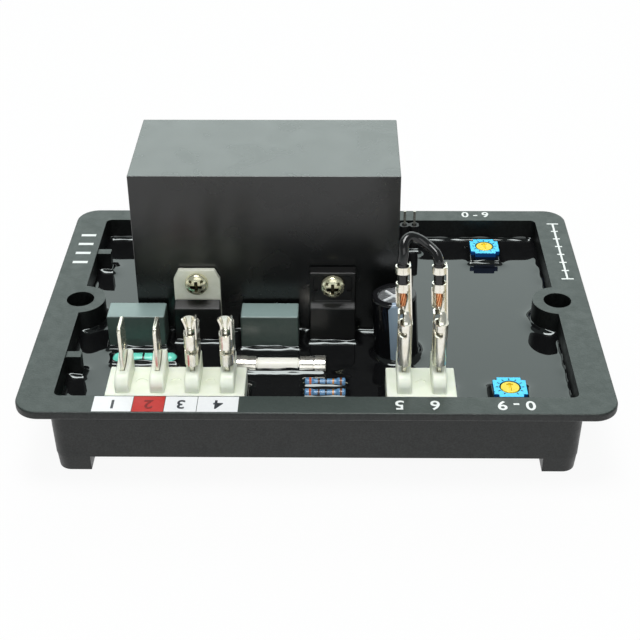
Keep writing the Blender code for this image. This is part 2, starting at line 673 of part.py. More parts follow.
def lead_holes():
    """Where a round leg goes through the board: x, y and radius."""
    holes = []
    for x in (TAB_TRANSISTOR_X, MOULDED_TRANSISTOR_X):
        for step in (-1, 0, 1):
            width = sqrt(TRANSISTOR_LEAD_WIDTH ** 2 + TRANSISTOR_LEAD_THICKNESS ** 2) / 2
            holes.append((x + step * TRANSISTOR_LEAD_PITCH, transistor_lead_y(), width))
    for x in FILM_CAPACITORS_X.values():
        holes += [(x + side * FILM_LEAD_PITCH / 2, FILM_CENTRE_Y, LEAD_RADIUS) for side in (-1, 1)]
    for side in (-1, 1):
        holes.append((POWER_RESISTOR_X + side * POWER_RESISTOR_PITCH / 2, POWER_RESISTOR_Y,
                      POWER_LEAD_RADIUS))
        holes.append((CAN_X + side * CAN_LEAD_PITCH / 2, CAN_Y, LEAD_RADIUS))
        holes.append((LINK_X + side * LINK_PITCH / 2, LINK_Y, LINK_PIN_SIDE * sqrt(0.5)))
        holes.append((FUSE_X + side * clip_shift(), FUSE_Y, clip_leg_reach()))
        for y in SMALL_RESISTORS_Y:
            holes.append((SMALL_RESISTOR_X + side * SMALL_RESISTOR_PITCH / 2, y, LEAD_RADIUS))
    for x in tab_places():
        holes.append((x, TAB_CENTRE_Y, sqrt(TAB_LEG_WIDTH ** 2 + TAB_SHEET ** 2) / 2))
    for y in TRIMMERS_Y.values():
        holes += [(x, place_y, LEAD_RADIUS) for x, place_y in trimmer_pins(y)]
    return holes


def footprints():
    """Straight-sided pieces that stand in the resin: x, y, length and depth."""
    deep = TRANSISTOR_THICKNESS
    transistor_y = TRANSISTOR_BACK_Y - deep / 2
    housing_y = (HOUSING_BACK_Y + HOUSING_FRONT_Y) / 2
    housing_deep = HOUSING_BACK_Y - HOUSING_FRONT_Y
    sink_y = SINK_FRONT_Y + SINK_DEPTH / 2
    areas = [
        (SINK_CENTRE_X, sink_y, SINK_LENGTH, SINK_DEPTH),
        (TAB_TRANSISTOR_X, transistor_y, TAB_TRANSISTOR_WIDTH, deep),
        (MOULDED_TRANSISTOR_X, transistor_y, MOULDED_TRANSISTOR_WIDTH, deep),
        (FOUR_WAY_X, housing_y, 4 * TERMINAL_PITCH, housing_deep),
        (TWO_WAY_X, housing_y, 2 * TERMINAL_PITCH, housing_deep),
        (LINK_X, LINK_Y, 2 * LINK_PITCH, LINK_PITCH),
    ]
    areas += [(x, FILM_CENTRE_Y, FILM_LENGTH, FILM_DEPTH) for x in FILM_CAPACITORS_X.values()]
    areas += [(TRIMMER_X, y, TRIMMER_SIDE, TRIMMER_SIDE) for y in TRIMMERS_Y.values()]
    areas += [(FUSE_X + side * clip_shift(), FUSE_Y, CLIP_LENGTH, 2 * CLIP_RADIUS) for side in (-1, 1)]
    return areas


def board_solid(name, clearance, base, top):
    length = CAVITY_LENGTH - 2 * BOARD_INSET_X + 2 * clearance
    depth = CAVITY_DEPTH - 2 * BOARD_INSET_Y + 2 * clearance
    solid = box(name, 0, CAVITY_SHIFT_Y, length, depth, base, top)
    for number, (x, y) in enumerate(boss_places()):
        notch = BOSS_RADIUS + 2 * FIT + WALL - clearance
        cut(solid, upright(f"{name}_notch_{number}", notch, x, y, base - OVERSHOOT,
                           top + OVERSHOOT))
    return bake(solid)


def make_board():
    board = board_solid("circuit_board", 0, BOARD_BASE, BOARD_TOP)
    for number, (x, y, radius) in enumerate(lead_holes()):
        cut(board, upright(f"lead_hole_{number}", radius + FIT, x, y, BOARD_BASE - OVERSHOOT,
                           BOARD_TOP + OVERSHOOT, HIDDEN_SEGMENTS))
    return finish(bake(board), "board")


def make_resin():
    length = CAVITY_LENGTH - 2 * FIT
    depth = CAVITY_DEPTH - 2 * FIT
    outline = rounded_outline(length, depth, CAVITY_CORNER - FIT)
    resin = plate("potting_resin", outline, FLOOR_TOP + FIT, RESIN_TOP, (0, CAVITY_SHIFT_Y))
    reach_down = FLOOR_TOP - OVERSHOOT
    reach_up = RESIN_TOP + OVERSHOOT
    for number, (x, y) in enumerate(boss_places()):
        cut(resin, upright(f"boss_gap_{number}", BOSS_RADIUS + FIT, x, y, reach_down, reach_up, 32))
    for number, (x, y) in enumerate(post_places()):
        cut(resin, upright(f"post_gap_{number}", POST_RADIUS + FIT, x, y, reach_down, BOARD_TOP, 8))
    for number, place_y in enumerate(RIB_PLACES_Y):
        cut(resin, rib_box(f"rib_gap_{number}", place_y, FIT, reach_down, reach_up))
    cut(resin, board_solid("board_gap", FIT, BOARD_BASE - FIT, BOARD_TOP + FIT))
    for number, (x, y, radius) in enumerate(lead_holes()):
        cut(resin, upright(f"tail_gap_{number}", radius + FIT, x, y, TAIL_END - FIT, BOARD_TOP,
                           HIDDEN_SEGMENTS))
    for number, (x, y, length, depth) in enumerate(footprints()):
        cut(resin, box(f"stand_gap_{number}", x, y, length + 2 * FIT, depth + 2 * FIT,
                       BOARD_TOP, reach_up))
    cut(resin, axial_gap("power_gap", POWER_RESISTOR_X, POWER_RESISTOR_Y, POWER_RESISTOR_Z,
                         POWER_RESISTOR_LENGTH, POWER_RESISTOR_RADIUS, POWER_RESISTOR_PITCH,
                         POWER_LEAD_RADIUS))
    for number, y in enumerate(SMALL_RESISTORS_Y):
        cut(resin, axial_gap(f"small_gap_{number}", SMALL_RESISTOR_X, y, SMALL_RESISTOR_Z,
                             SMALL_RESISTOR_LENGTH, SMALL_RESISTOR_RADIUS, SMALL_RESISTOR_PITCH,
                             LEAD_RADIUS))
    fuse_half = FUSE_LENGTH / 2 + FIT
    cut(resin, cylinder("fuse_gap", FUSE_CAP_RADIUS + FIT, (FUSE_X - fuse_half, FUSE_Y, FUSE_Z),
                        (FUSE_X + fuse_half, FUSE_Y, FUSE_Z), 20))
    can_gap = upright("can_gap", SLEEVE_RADIUS + 2 * FIT, 0, 0, -OVERSHOOT, CAN_HEIGHT)
    cut(resin, lean_can(can_gap))
    return finish(bake(resin), "resin")


def axial_gap(name, x, y, z, length, radius, pitch, lead_radius):
    """The room for a lying resistor and its two bent leads."""
    half = length / 2 + FIT
    gap = cylinder(name, radius + FIT, (x - half, y, z), (x + half, y, z), 16)
    for side in (-1, 1):
        bend_x = x + side * pitch / 2
        leg = upright(f"{name}_leg_{side}", lead_radius + 2 * FIT, bend_x, y, BOARD_TOP,
                      z + lead_radius + FIT, 12)
        arm = cylinder(f"{name}_arm_{side}", lead_radius + FIT, (x + side * length / 4, y, z),
                       (bend_x, y, z), 10)
        join(gap, leg, arm)
    return bake(gap)


# Heat sink, transistors and their screws

def make_heat_sink():
    sink = box("heat_sink", SINK_CENTRE_X, SINK_FRONT_Y + SINK_DEPTH / 2, SINK_LENGTH, SINK_DEPTH,
               SEAT, SINK_TOP)
    sink = bake(bevel(sink, SINK_EDGE))
    for number, (x, z) in enumerate(((TAB_TRANSISTOR_X, TAB_SCREW_Z),
                                     (MOULDED_TRANSISTOR_X, MOULDED_SCREW_Z))):
        start = (x, SINK_FRONT_Y - OVERSHOOT, z)
        end = (x, SINK_FRONT_Y + TAPPED_HOLE_DEPTH, z)
        cut(sink, cylinder(f"tapped_hole_{number}", SCREW_RADIUS + FIT, start, end, 16))
    return finish(bake(sink), "anodised")


def screw_gap(name, x, z):
    """The hole that lets a screw through a transistor."""
    start = (x, TRANSISTOR_BACK_Y - 2 * TRANSISTOR_THICKNESS, z)
    end = (x, TRANSISTOR_BACK_Y + OVERSHOOT, z)
    return cylinder(name, SCREW_RADIUS + FIT, start, end, 16)


def make_screw(name, x, seat_y, z):
    head = SCREW_HEAD_HEIGHT
    rim = SCREW_HEAD_RADIUS
    dome = [(rim * cos(angle), SCREW_HEAD_EDGE + (head - SCREW_HEAD_EDGE) * sin(angle))
            for angle in (radians(step) for step in (70, 45, 20))]
    profile = [(0, head), *dome, (rim, 0), (SCREW_RADIUS, 0), (SCREW_RADIUS, -SCREW_LENGTH),
               (0, -SCREW_LENGTH)]
    screw = turned(name, profile, 16)
    half = SCREW_RECESS_LENGTH / 2
    thin = SCREW_RECESS_WIDTH / 2
    low = head - SCREW_RECESS_DEPTH
    cross = block(name + "_cross", (-half, -thin, low), (half, thin, head + OVERSHOOT))
    join(cross, block(name + "_bar", (-thin, -half, low), (thin, half, head + OVERSHOOT)))
    screw = bake(cut(screw, bake(cross)))
    screw.data.transform(Matrix.Rotation(pi / 2, 4, "X"))
    screw.location = (x, seat_y - FIT, z)
    return finish(screw, "zinc")


def transistor_lead_y():
    return TRANSISTOR_BACK_Y - TRANSISTOR_LEAD_SETBACK


def make_leads(side, x):
    for number in (1, 2, 3):
        place_x = x + (number - 2) * TRANSISTOR_LEAD_PITCH
        lead = box(f"{side}_transistor_lead_{number}", place_x, transistor_lead_y(),
                   TRANSISTOR_LEAD_WIDTH, TRANSISTOR_LEAD_THICKNESS, TAIL_END, TRANSISTOR_FOOT - FIT)
        finish(lead, "tin")


def make_tab_transistor():
    x = TAB_TRANSISTOR_X
    half = TAB_TRANSISTOR_WIDTH / 2
    top = TAB_TRANSISTOR_TOP
    outline = [(x - half, TAB_FOOT), (x + half, TAB_FOOT), (x + half, top - TAB_CHAMFER_Z),
               (x + half - TAB_CHAMFER_X, top), (x - half + TAB_CHAMFER_X, top),
               (x - half, top - TAB_CHAMFER_Z)]
    tab = front_plate("left_transistor_tab", outline, TRANSISTOR_BACK_Y, TAB_THICKNESS)
    finish(bake(cut(tab, screw_gap("left_tab_hole", x, TAB_SCREW_Z))), "tin")
    tab_front = TRANSISTOR_BACK_Y - TAB_THICKNESS - FIT
    front = TRANSISTOR_BACK_Y - TRANSISTOR_THICKNESS
    head = TRANSISTOR_BODY_TOP
    profile = [(tab_front, TAB_FOOT - FIT), (TRANSISTOR_BACK_Y, TAB_FOOT - FIT),
               (TRANSISTOR_BACK_Y, TRANSISTOR_FOOT), (front, TRANSISTOR_FOOT),
               (front, head - TRANSISTOR_BEVEL), (tab_front, head)]
    body = side_plate("left_transistor_body", profile, x, TAB_TRANSISTOR_WIDTH)
    finish(bake(bevel(body, FIT)), "moulding")
    make_leads("left", x)
    make_screw("left_transistor_screw", x, tab_front + FIT, TAB_SCREW_Z)


def make_moulded_transistor():
    x = MOULDED_TRANSISTOR_X
    back = TRANSISTOR_BACK_Y
    upper = back - MOULDED_UPPER_THICKNESS
    front = back - TRANSISTOR_THICKNESS
    step = TRANSISTOR_BODY_TOP
    profile = [(back, TRANSISTOR_FOOT), (front, TRANSISTOR_FOOT), (front, step - TRANSISTOR_BEVEL),
               (upper, step), (upper, MOULDED_TRANSISTOR_TOP), (back, MOULDED_TRANSISTOR_TOP)]
    body = side_plate("right_transistor_body", profile, x, MOULDED_TRANSISTOR_WIDTH)
    body = bake(bevel(body, FIT))
    finish(bake(cut(body, screw_gap("right_body_hole", x, MOULDED_SCREW_Z))), "moulding")
    make_leads("right", x)
    make_screw("right_transistor_screw", x, upper, MOULDED_SCREW_Z)


# Board components

def make_film_capacitors():
    for side, x in FILM_CAPACITORS_X.items():
        body = box(f"{side}_film_capacitor", x, FILM_CENTRE_Y, FILM_LENGTH, FILM_DEPTH, SEAT, FILM_TOP)
        finish(bake(bevel(body, FILM_EDGE)), "film")
        for number, turn in enumerate((-1, 1), 1):
            place = x + turn * FILM_LEAD_PITCH / 2
            lead = upright(f"{side}_film_capacitor_lead_{number}", LEAD_RADIUS, place, FILM_CENTRE_Y,
                           TAIL_END, SEAT - FIT, 8)
            finish(lead, "tin")


def bent_lead(name, x, y, z, side, start, pitch, radius):
    """A lead that leaves a lying resistor, turns down and goes through the board."""
    bend_x = x + side * pitch / 2
    turn = 2 * radius
    points = [(x + side * start, y, z), (bend_x - side * turn, y, z)]
    points += [(bend_x - side * turn + side * turn * sin(angle), y, z - turn + turn * cos(angle))
               for angle in (radians(step) for step in (30, 60, 90))]
    points.append((bend_x, y, TAIL_END))
    return wire(name, points, radius, 1)


def make_power_resistor():
    half = POWER_RESISTOR_LENGTH / 2
    radius = POWER_RESISTOR_RADIUS
    dome = [(radius * sin(angle), half - radius + radius * cos(angle))
            for angle in (radians(step) for step in (25, 50, 70, 90))]
    foot = [(r, -z) for r, z in reversed(dome)]
    body = turned("power_resistor", [(0, half), *dome, *foot, (0, -half)], 20)
    along_x(body, POWER_RESISTOR_X, POWER_RESISTOR_Y, POWER_RESISTOR_Z)
    finish(body, "turquoise")
    for number, side in enumerate((-1, 1), 1):
        lead = bent_lead(f"power_resistor_lead_{number}", POWER_RESISTOR_X, POWER_RESISTOR_Y,
                         POWER_RESISTOR_Z, side, half + FIT, POWER_RESISTOR_PITCH, POWER_LEAD_RADIUS)
        finish(lead, "tin")


def make_small_resistors():
    half = SMALL_RESISTOR_LENGTH / 2
    end = half - SMALL_RESISTOR_END_LENGTH
    radius = SMALL_RESISTOR_RADIUS
    waist = SMALL_RESISTOR_WAIST
    rounding = radius - waist
    right = [(0, half), (waist, half), (radius, half - rounding), (radius, end + rounding), (waist, end)]
    profile = right + [(r, -z) for r, z in reversed(right)]
    for number, y in enumerate(SMALL_RESISTORS_Y, 1):
        name = f"small_resistor_{number}"
        body = along_x(turned(name, profile, 12), SMALL_RESISTOR_X, y, SMALL_RESISTOR_Z)
        for side in (-1, 1):
            join(body, bent_lead(f"{name}_lead_{side}", SMALL_RESISTOR_X, y, SMALL_RESISTOR_Z, side,
                                 half - rounding, SMALL_RESISTOR_PITCH, LEAD_RADIUS))
        finish(bake(body), "pale_blue")


def clip_shift():
    return (FUSE_LENGTH - FUSE_CAP_LENGTH) / 2


def clip_leg_reach():
    return sqrt(CLIP_LEG_WIDTH ** 2 + (2 * CLIP_WALL) ** 2) / 2


def make_fuse():
    half = FUSE_LENGTH / 2
    wall = FUSE_CAP_WALL
    tube = turned("fuse_tube", [(0, half - wall - FIT), (FUSE_TUBE_RADIUS - FIT, half - wall - FIT),
                                (FUSE_TUBE_RADIUS - FIT, half - FUSE_CAP_LENGTH - FIT),
                                (FUSE_TUBE_RADIUS, half - FUSE_CAP_LENGTH - FIT),
                                (FUSE_TUBE_RADIUS, -half + FUSE_CAP_LENGTH + FIT),
                                (FUSE_TUBE_RADIUS - FIT, -half + FUSE_CAP_LENGTH + FIT),
                                (FUSE_TUBE_RADIUS - FIT, -half + wall + FIT), (0, -half + wall + FIT)], 20)
    finish(along_x(tube, FUSE_X, FUSE_Y, FUSE_Z), "ceramic")
    for name, side in (("left", -1), ("right", 1)):
        make_fuse_cap(f"fuse_cap_{name}", side)
        make_fuse_clip(f"fuse_clip_{name}", side)


def make_fuse_cap(name, side):
    half = FUSE_CAP_LENGTH / 2
    inner = FUSE_CAP_RADIUS - FUSE_CAP_WALL
    cap = turned(name, [(0, half), (FUSE_CAP_RADIUS - FIT, half), (FUSE_CAP_RADIUS, half - FIT),
                        (FUSE_CAP_RADIUS, -half), (inner, -half), (inner, half - FUSE_CAP_WALL),
                        (0, half - FUSE_CAP_WALL)], 20)
    if side < 0:
        cap.data.transform(Matrix.Rotation(pi, 4, "Y"))
    finish(along_x(cap, FUSE_X + side * clip_shift(), FUSE_Y, FUSE_Z), "tin")


def make_fuse_clip(name, side):
    """A spring clip: a trough open at the top, on one flat leg."""
    x = FUSE_X + side * clip_shift()
    middle = CLIP_RADIUS - CLIP_WALL / 2
    start = pi / 2 + CLIP_OPENING / 2
    path = arc((0, 0), middle, start, start + 2 * pi - CLIP_OPENING, 14)
    trough = sheet_shell(name, path, -CLIP_LENGTH / 2, CLIP_LENGTH / 2, CLIP_WALL)
    turn = Matrix(((0, 0, 1), (1, 0, 0), (0, 1, 0))).to_4x4()
    trough.data.transform(Matrix.Translation((x, FUSE_Y, FUSE_Z)) @ turn)
    leg = box(name + "_leg", x, FUSE_Y, CLIP_LEG_WIDTH, 2 * CLIP_WALL, TAIL_END,
              FUSE_Z - middle + CLIP_WALL / 4)
    finish(bake(join(trough, leg)), "tin")


def lean_can(item):
    """Stand a shape made about the Z axis on the can's leaning axis."""
    lift = SEAT + SLEEVE_RADIUS * sin(abs(CAN_LEAN))
    place = Matrix.Translation((CAN_X, CAN_Y, lift)) @ Matrix.Rotation(CAN_LEAN, 4, "Y")
    settle(item).data.transform(place)
    return item


def make_electrolytic():
    height = CAN_HEIGHT
    inner = SLEEVE_RADIUS - SLEEVE_WALL
    can = turned("capacitor_can", [(0, height), (CAN_RADIUS - CAN_EDGE, height),
                                   (CAN_RADIUS - CAN_EDGE_MIDDLE, height - CAN_EDGE_MIDDLE),
                                   (CAN_RADIUS, height - CAN_EDGE), (CAN_RADIUS, FIT), (0, FIT)])
    for number, angle in enumerate((45, 135)):
        vent = box(f"vent_{number}", 0, 0, VENT_LENGTH, VENT_WIDTH, height - VENT_DEPTH,
                   height + OVERSHOOT)
        vent.rotation_euler.z = radians(angle)
        cut(can, vent)
    finish(lean_can(bake(can)), "aluminium")
    lip_top = height + FIT + SLEEVE_WALL
    lip_inner = CAN_RADIUS - SLEEVE_LIP
    sleeve = turned("capacitor_sleeve", [(lip_inner, lip_top), (SLEEVE_RADIUS - CAN_EDGE, lip_top),
                                         (SLEEVE_RADIUS, lip_top - CAN_EDGE), (SLEEVE_RADIUS, 0),
                                         (inner, 0), (inner, lip_top - CAN_EDGE - FIT),
                                         (inner - FIT, lip_top - SLEEVE_WALL),
                                         (lip_inner, lip_top - SLEEVE_WALL), (lip_inner, lip_top)])
    finish(lean_can(sleeve), "moulding")
    for number, side in enumerate((-1, 1), 1):
        lead = upright(f"capacitor_can_lead_{number}", LEAD_RADIUS, CAN_X + side * CAN_LEAD_PITCH / 2,
                       CAN_Y, TAIL_END, SEAT, 8)
        finish(lead, "tin")


# Terminals

def tab_places():
    four = [FOUR_WAY_X + (step - 1.5) * TERMINAL_PITCH for step in range(4)]
    two = [TWO_WAY_X + (step - 0.5) * TERMINAL_PITCH for step in range(2)]
    return four + two


def make_housing(name, centre_x, places):
    """A row of towers on one block, each with a slot for its tab."""
    length = len(places) * TERMINAL_PITCH
    low = (centre_x - length / 2, HOUSING_FRONT_Y, SEAT)
    high = (centre_x + length / 2, HOUSING_BACK_Y, HOUSING_TOP)
    housing = block(name, low, high)
    housing = bake(bevel(housing, HOUSING_EDGE))
    front = HOUSING_FRONT_Y + TOWER_FRONT_INSET
    back = HOUSING_BACK_Y - HOUSING_EDGE
    centre = (front + TOWER_FRONT_ROUND, TOWER_FRONT_TOP - TOWER_FRONT_ROUND)
    profile = [(front, HOUSING_TOP - OVERSHOOT),
               *arc(centre, TOWER_FRONT_ROUND, pi, pi / 2, TOWER_ROUND_STEPS),
               (TAB_CENTRE_Y, TOWER_FRONT_TOP), (back - TOWER_FRONT_INSET, TOWER_BACK_TOP),
               (back, TOWER_BACK_TOP), (back, HOUSING_TOP - OVERSHOOT)]
    for number, x in enumerate(places):
        tower = side_plate(f"{name}_tower_{number}", profile, x, TOWER_WIDTH)
        join(housing, bake(bevel(tower, HOUSING_EDGE * 2, 2)))
    for number, x in enumerate(places):
        slot = box(f"{name}_slot_{number}", x, TAB_CENTRE_Y, TAB_SHEET + 2 * TAB_SLOT_GAP,
                   TAB_WIDTH + 2 * TAB_SLOT_GAP, SEAT - OVERSHOOT, TOWER_BACK_TOP + OVERSHOOT)
        cut(housing, slot)
    return finish(bake(housing), "nylon")


def make_tab(name, x):
    half = TAB_WIDTH / 2
    leg = TAB_LEG_WIDTH / 2
    y = TAB_CENTRE_Y
    outline = [(y - leg, TAIL_END), (y + leg, TAIL_END), (y + leg, SEAT), (y + half, SEAT),
               (y + half, TAB_TOP - TAB_CORNER), (y + half - TAB_CORNER, TAB_TOP),
               (y - half + TAB_CORNER, TAB_TOP), (y - half, TAB_TOP - TAB_CORNER), (y - half, SEAT),
               (y - leg, SEAT)]
    tab = side_plate(name, outline, x, TAB_SHEET)
    hole_z = TAB_TOP - TAB_HOLE_DROP
    hole = cylinder(name + "_hole", TAB_HOLE_RADIUS, (x - TAB_SHEET, y, hole_z),
                    (x + TAB_SHEET, y, hole_z), 12)
    return finish(bake(cut(tab, hole)), "tin")


def rolled_box(name, x, base, top):
    """The sheet of a receptacle, rolled round both edges of the tab."""
    radius = (RECEPTACLE_THICKNESS - SHEET) / 2
    reach = (RECEPTACLE_WIDTH - SHEET) / 2 - radius
    mouth = RECEPTACLE_MOUTH / 2
    back = arc((0, reach), radius, 0, pi, 5)
    front = arc((0, -reach), radius, pi, 2 * pi, 5)
    path = [(-radius, -mouth), *front, *back, (-radius, mouth)]
    shell = sheet_shell(name, path, base, top, SHEET)
    shell.data.transform(Matrix.Translation((x, TAB_CENTRE_Y, 0)))
    return shell


def notch_rolls(shell, x, height):
    """Part the rolled edges from those of the next length, down to the flat side."""
    reach = RECEPTACLE_WIDTH / 2
    for side in (-1, 1):
        edge = TAB_CENTRE_Y + side * reach
        inner = edge - side * NOTCH_REACH
        low_y, high_y = sorted((edge + side * OVERSHOOT, inner))
        notch = block(f"{shell.name}_notch_{side}", (x - RECEPTACLE_THICKNESS, low_y, height),
                      (x + RECEPTACLE_THICKNESS / 2 + OVERSHOOT, high_y, height + NOTCH_HEIGHT))
        cut(shell, notch)
    return bake(shell)


def strip(name, x, y, width, base, top):
    """The flat side of a receptacle where it runs on past the rolled box."""
    middle = x + (RECEPTACLE_THICKNESS - SHEET) / 2
    return box(name, middle, y, STRIP_SHEET, width, base, top)


def make_loose_receptacle(name, x):
    shell = notch_rolls(rolled_box(name, x, LOOSE_BOTTOM, LOOSE_BOX_TOP), x, LOOSE_NOTCH)
    wing_y = TAB_CENTRE_Y - LOOSE_WING_SETOFF
    join(shell, strip(name + "_strip", x, wing_y + LOOSE_STRIP_WIDTH / 3, LOOSE_STRIP_WIDTH,
                      LOOSE_BOX_TOP - OVERSHOOT, LOOSE_TOP - OVERSHOOT / 4))
    start = -pi / 2 + LOOSE_WING_OPENING / 2
    end = start + 2 * pi - LOOSE_WING_OPENING
    wings = sheet_shell(name + "_wings", arc((0, 0), LOOSE_WING_RADIUS - SHEET / 2, start, end, 10),
                        LOOSE_WING_BASE, LOOSE_TOP, SHEET)
    waist = LOOSE_WING_WAIST / LOOSE_WING_RADIUS
    for vertex in wings.data.vertices:
        if vertex.co.z < (LOOSE_WING_BASE + LOOSE_TOP) / 2:
            vertex.co.x *= waist
            vertex.co.y *= waist
    wings.data.transform(Matrix.Translation((x, wing_y, 0)))
    return finish(bake(join(shell, wings)), "tin")


def barrel(name, x, base, top):
    ring = upright(name, BARREL_RADIUS, x, TAB_CENTRE_Y, base, top, 16)
    bore = upright(name + "_bore", BARREL_RADIUS - BARREL_WALL, x, TAB_CENTRE_Y,
                   base - OVERSHOOT, top + OVERSHOOT, 16)
    return bake(cut(ring, bore))


def crimp_x(x):
    """The axis of the wire in a crimped receptacle, whose barrels sink into the flat side."""
    return x + RECEPTACLE_THICKNESS / 2 - BARREL_SINK - BARREL_RADIUS


def crimp_shift(height):
    """How far the crimped end leans to the left at a height above the rolled box."""
    return -CRIMP_LEAN * max(height - LEAN_START, 0)


def lean_crimps(item):
    for vertex in item.data.vertices:
        vertex.co.x += crimp_shift(vertex.co.z)
    return item


def make_crimped_receptacle(name, x):
    shell = notch_rolls(rolled_box(name, x, CRIMPED_BOTTOM, CRIMPED_BOX_TOP), x, CRIMPED_NOTCH)
    join(shell, strip(name + "_strip", x, TAB_CENTRE_Y, NECK_WIDTH, CRIMPED_BOX_TOP - OVERSHOOT,
                      CRIMPED_TOP - OVERSHOOT / 4))
    start = -pi / 2 + TROUGH_OPENING / 2
    trough = sheet_shell(name + "_trough", arc((0, 0), BARREL_RADIUS - BARREL_WALL / 2, start,
                                               start + 2 * pi - TROUGH_OPENING, 8),
                         CRIMPED_BOX_TOP + TROUGH_START, CONDUCTOR_CRIMP_BASE + FIT, BARREL_WALL)
    trough.data.transform(Matrix.Translation((crimp_x(x), TAB_CENTRE_Y, 0)))
    join(shell, trough)
    join(shell, barrel(name + "_conductor", crimp_x(x), CONDUCTOR_CRIMP_BASE, CONDUCTOR_CRIMP_TOP),
         barrel(name + "_insulation", crimp_x(x), INSULATION_CRIMP_BASE, CRIMPED_TOP))
    return finish(lean_crimps(bake(shell)), "tin")


def jumper_route():
    """A smooth curve from one crimp, over the top and down into the other."""
    first, second = (crimp_x(x) for x in tab_places()[4:])
    rise = (STRIP_LINE, CRIMPED_TOP, CRIMPED_TOP + LEAD_OUTER_RADIUS / 2)
    ends = [[(x + crimp_shift(height), TAB_CENTRE_Y, height) for height in rise]
            for x in (first, second)]
    crest = Vector((TWO_WAY_X, TAB_CENTRE_Y, CRIMPED_TOP))
    middle = [crest + Vector(offset) for offset in JUMPER_MIDDLE]
    knots = [Vector(place) for place in (*ends[0], *middle, *reversed(ends[1]))]
    points = [knots[0]]
    for number, (start, end) in enumerate(zip(knots, knots[1:])):
        before = knots[max(number - 1, 0)]
        after = knots[min(number + 2, len(knots) - 1)]
        first_handle = start + (end - before) / 6
        second_handle = end - (after - start) / 6
        span = interpolate_bezier(start, first_handle, second_handle, end, JUMPER_POINTS_PER_SPAN)
        points += span[1:]
    return points


def make_jumper():
    finish(wire("jumper_lead", jumper_route(), LEAD_OUTER_RADIUS), "moulding")
    for number, x in enumerate(tab_places()[4:], 1):
        strands = upright(f"jumper_strands_{number}", STRAND_RADIUS, crimp_x(x), TAB_CENTRE_Y,
                          STRAND_BASE, STRIP_LINE - FIT, 12)
        finish(lean_crimps(strands), "copper")


def make_terminals():
    places = tab_places()
    make_housing("four_way_housing", FOUR_WAY_X, places[:4])
    make_housing("two_way_housing", TWO_WAY_X, places[4:])
    for number, x in enumerate(places, 1):
        make_tab(f"blade_tab_{number}", x)
    for number, x in enumerate(places[2:4], 3):
        make_loose_receptacle(f"loose_receptacle_{number}", x)
    for number, x in enumerate(places[4:], 5):
        make_crimped_receptacle(f"crimped_receptacle_{number}", x)
    make_jumper()


# Trimmers and link header

def trimmer_pins(y):
    spread = TRIMMER_PIN_SPREAD
    return [(TRIMMER_X - spread, y - spread), (TRIMMER_X + spread, y - spread), (TRIMMER_X, y + spread)]


def notched_square(side, notch):
    half = side / 2
    inner = half - notch
    quarter = [(half, -inner), (half, inner), (inner, inner)]
    outline = []
    for step in range(4):
        angle = step * pi / 2
        outline += [(x * cos(angle) - y * sin(angle), x * sin(angle) + y * cos(angle))
                    for x, y in quarter]
    return outline


def make_trimmer(side, y):
    name = f"{side}_trimmer"
    housing = plate(name, notched_square(TRIMMER_SIDE, TRIMMER_NOTCH), SEAT, TRIMMER_TOP,
                    (TRIMMER_X, y))
    pocket_floor = TRIMMER_TOP - ROTOR_DEPTH - FIT
    cut(housing, upright(name + "_pocket", ROTOR_RADIUS + FIT, TRIMMER_X, y, pocket_floor,
                         TRIMMER_TOP + OVERSHOOT))
    for number, (x, place_y) in enumerate(trimmer_pins(y)):
        join(housing, upright(f"{name}_pin_{number}", LEAD_RADIUS, x, place_y, TAIL_END,
                              SEAT + OVERSHOOT, 8))
    finish(bake(housing), "blue")
    rotor = settle(upright(f"{name}_rotor", ROTOR_RADIUS, 0, 0, -ROTOR_DEPTH, 0))
    slot = box(name + "_slot", 0, 0, ROTOR_SLOT_WIDTH, ROTOR_SLOT_LENGTH, -ROTOR_SLOT_DEPTH,
               OVERSHOOT)
    rotor = bake(cut(rotor, slot))
    rotor.location = (TRIMMER_X, y, TRIMMER_TOP)
    finish(rotor, "yellow")


def make_link_header():
    half = LINK_PITCH / 2
    edge = half - LINK_CHAMFER
    right = [(LINK_PITCH, -edge), (LINK_PITCH, edge), (half + edge, half), (half - edge, half),
             (0, edge)]
    outline = right + [(-x, y) for x, y in reversed(right[:-1])]
    outline += [(x, -y) for x, y in reversed(outline)][2:-2]
    base = plate("link_header", outline, SEAT, LINK_TOP, (LINK_X, LINK_Y))
    for number, side in enumerate((-1, 1), 1):
        x = LINK_X + side * half
        room = LINK_PIN_SIDE + 2 * FIT
        cut(base, box(f"link_hole_{number}", x, LINK_Y, room, room, SEAT - OVERSHOOT,
                      LINK_TOP + OVERSHOOT))
        pin = box(f"link_pin_{number}", x, LINK_Y, LINK_PIN_SIDE, LINK_PIN_SIDE, TAIL_END,
                  LINK_PIN_TOP)
        finish(pin, "tin")
    finish(bake(base), "moulding")


clear_scene()
PARTS = new_collection("automatic_voltage_regulator")
CUTTERS = new_collection("cutters", hidden=True)
make_tray()
make_resin()
make_board()
make_heat_sink()
make_tab_transistor()
make_moulded_transistor()
make_film_capacitors()
make_power_resistor()
make_fuse()
make_electrolytic()
make_small_resistors()
make_terminals()
for trimmer_side, trimmer_y in TRIMMERS_Y.items():
    make_trimmer(trimmer_side, trimmer_y)
make_link_header()
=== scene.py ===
"""Looks of the automatic voltage regulator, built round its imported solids.

Metres, +Z up, in the frame of the solids: +X runs along the tray and +Y points away from
the terminal housings. The whole regulator is one body, apart from the two trimmer rotors.
"""
from math import cos, exp, pi, radians, sin, sqrt, tan

import bmesh
import bpy
import numpy as np
from mathutils import Matrix, Vector
from mathutils.geometry import interpolate_bezier


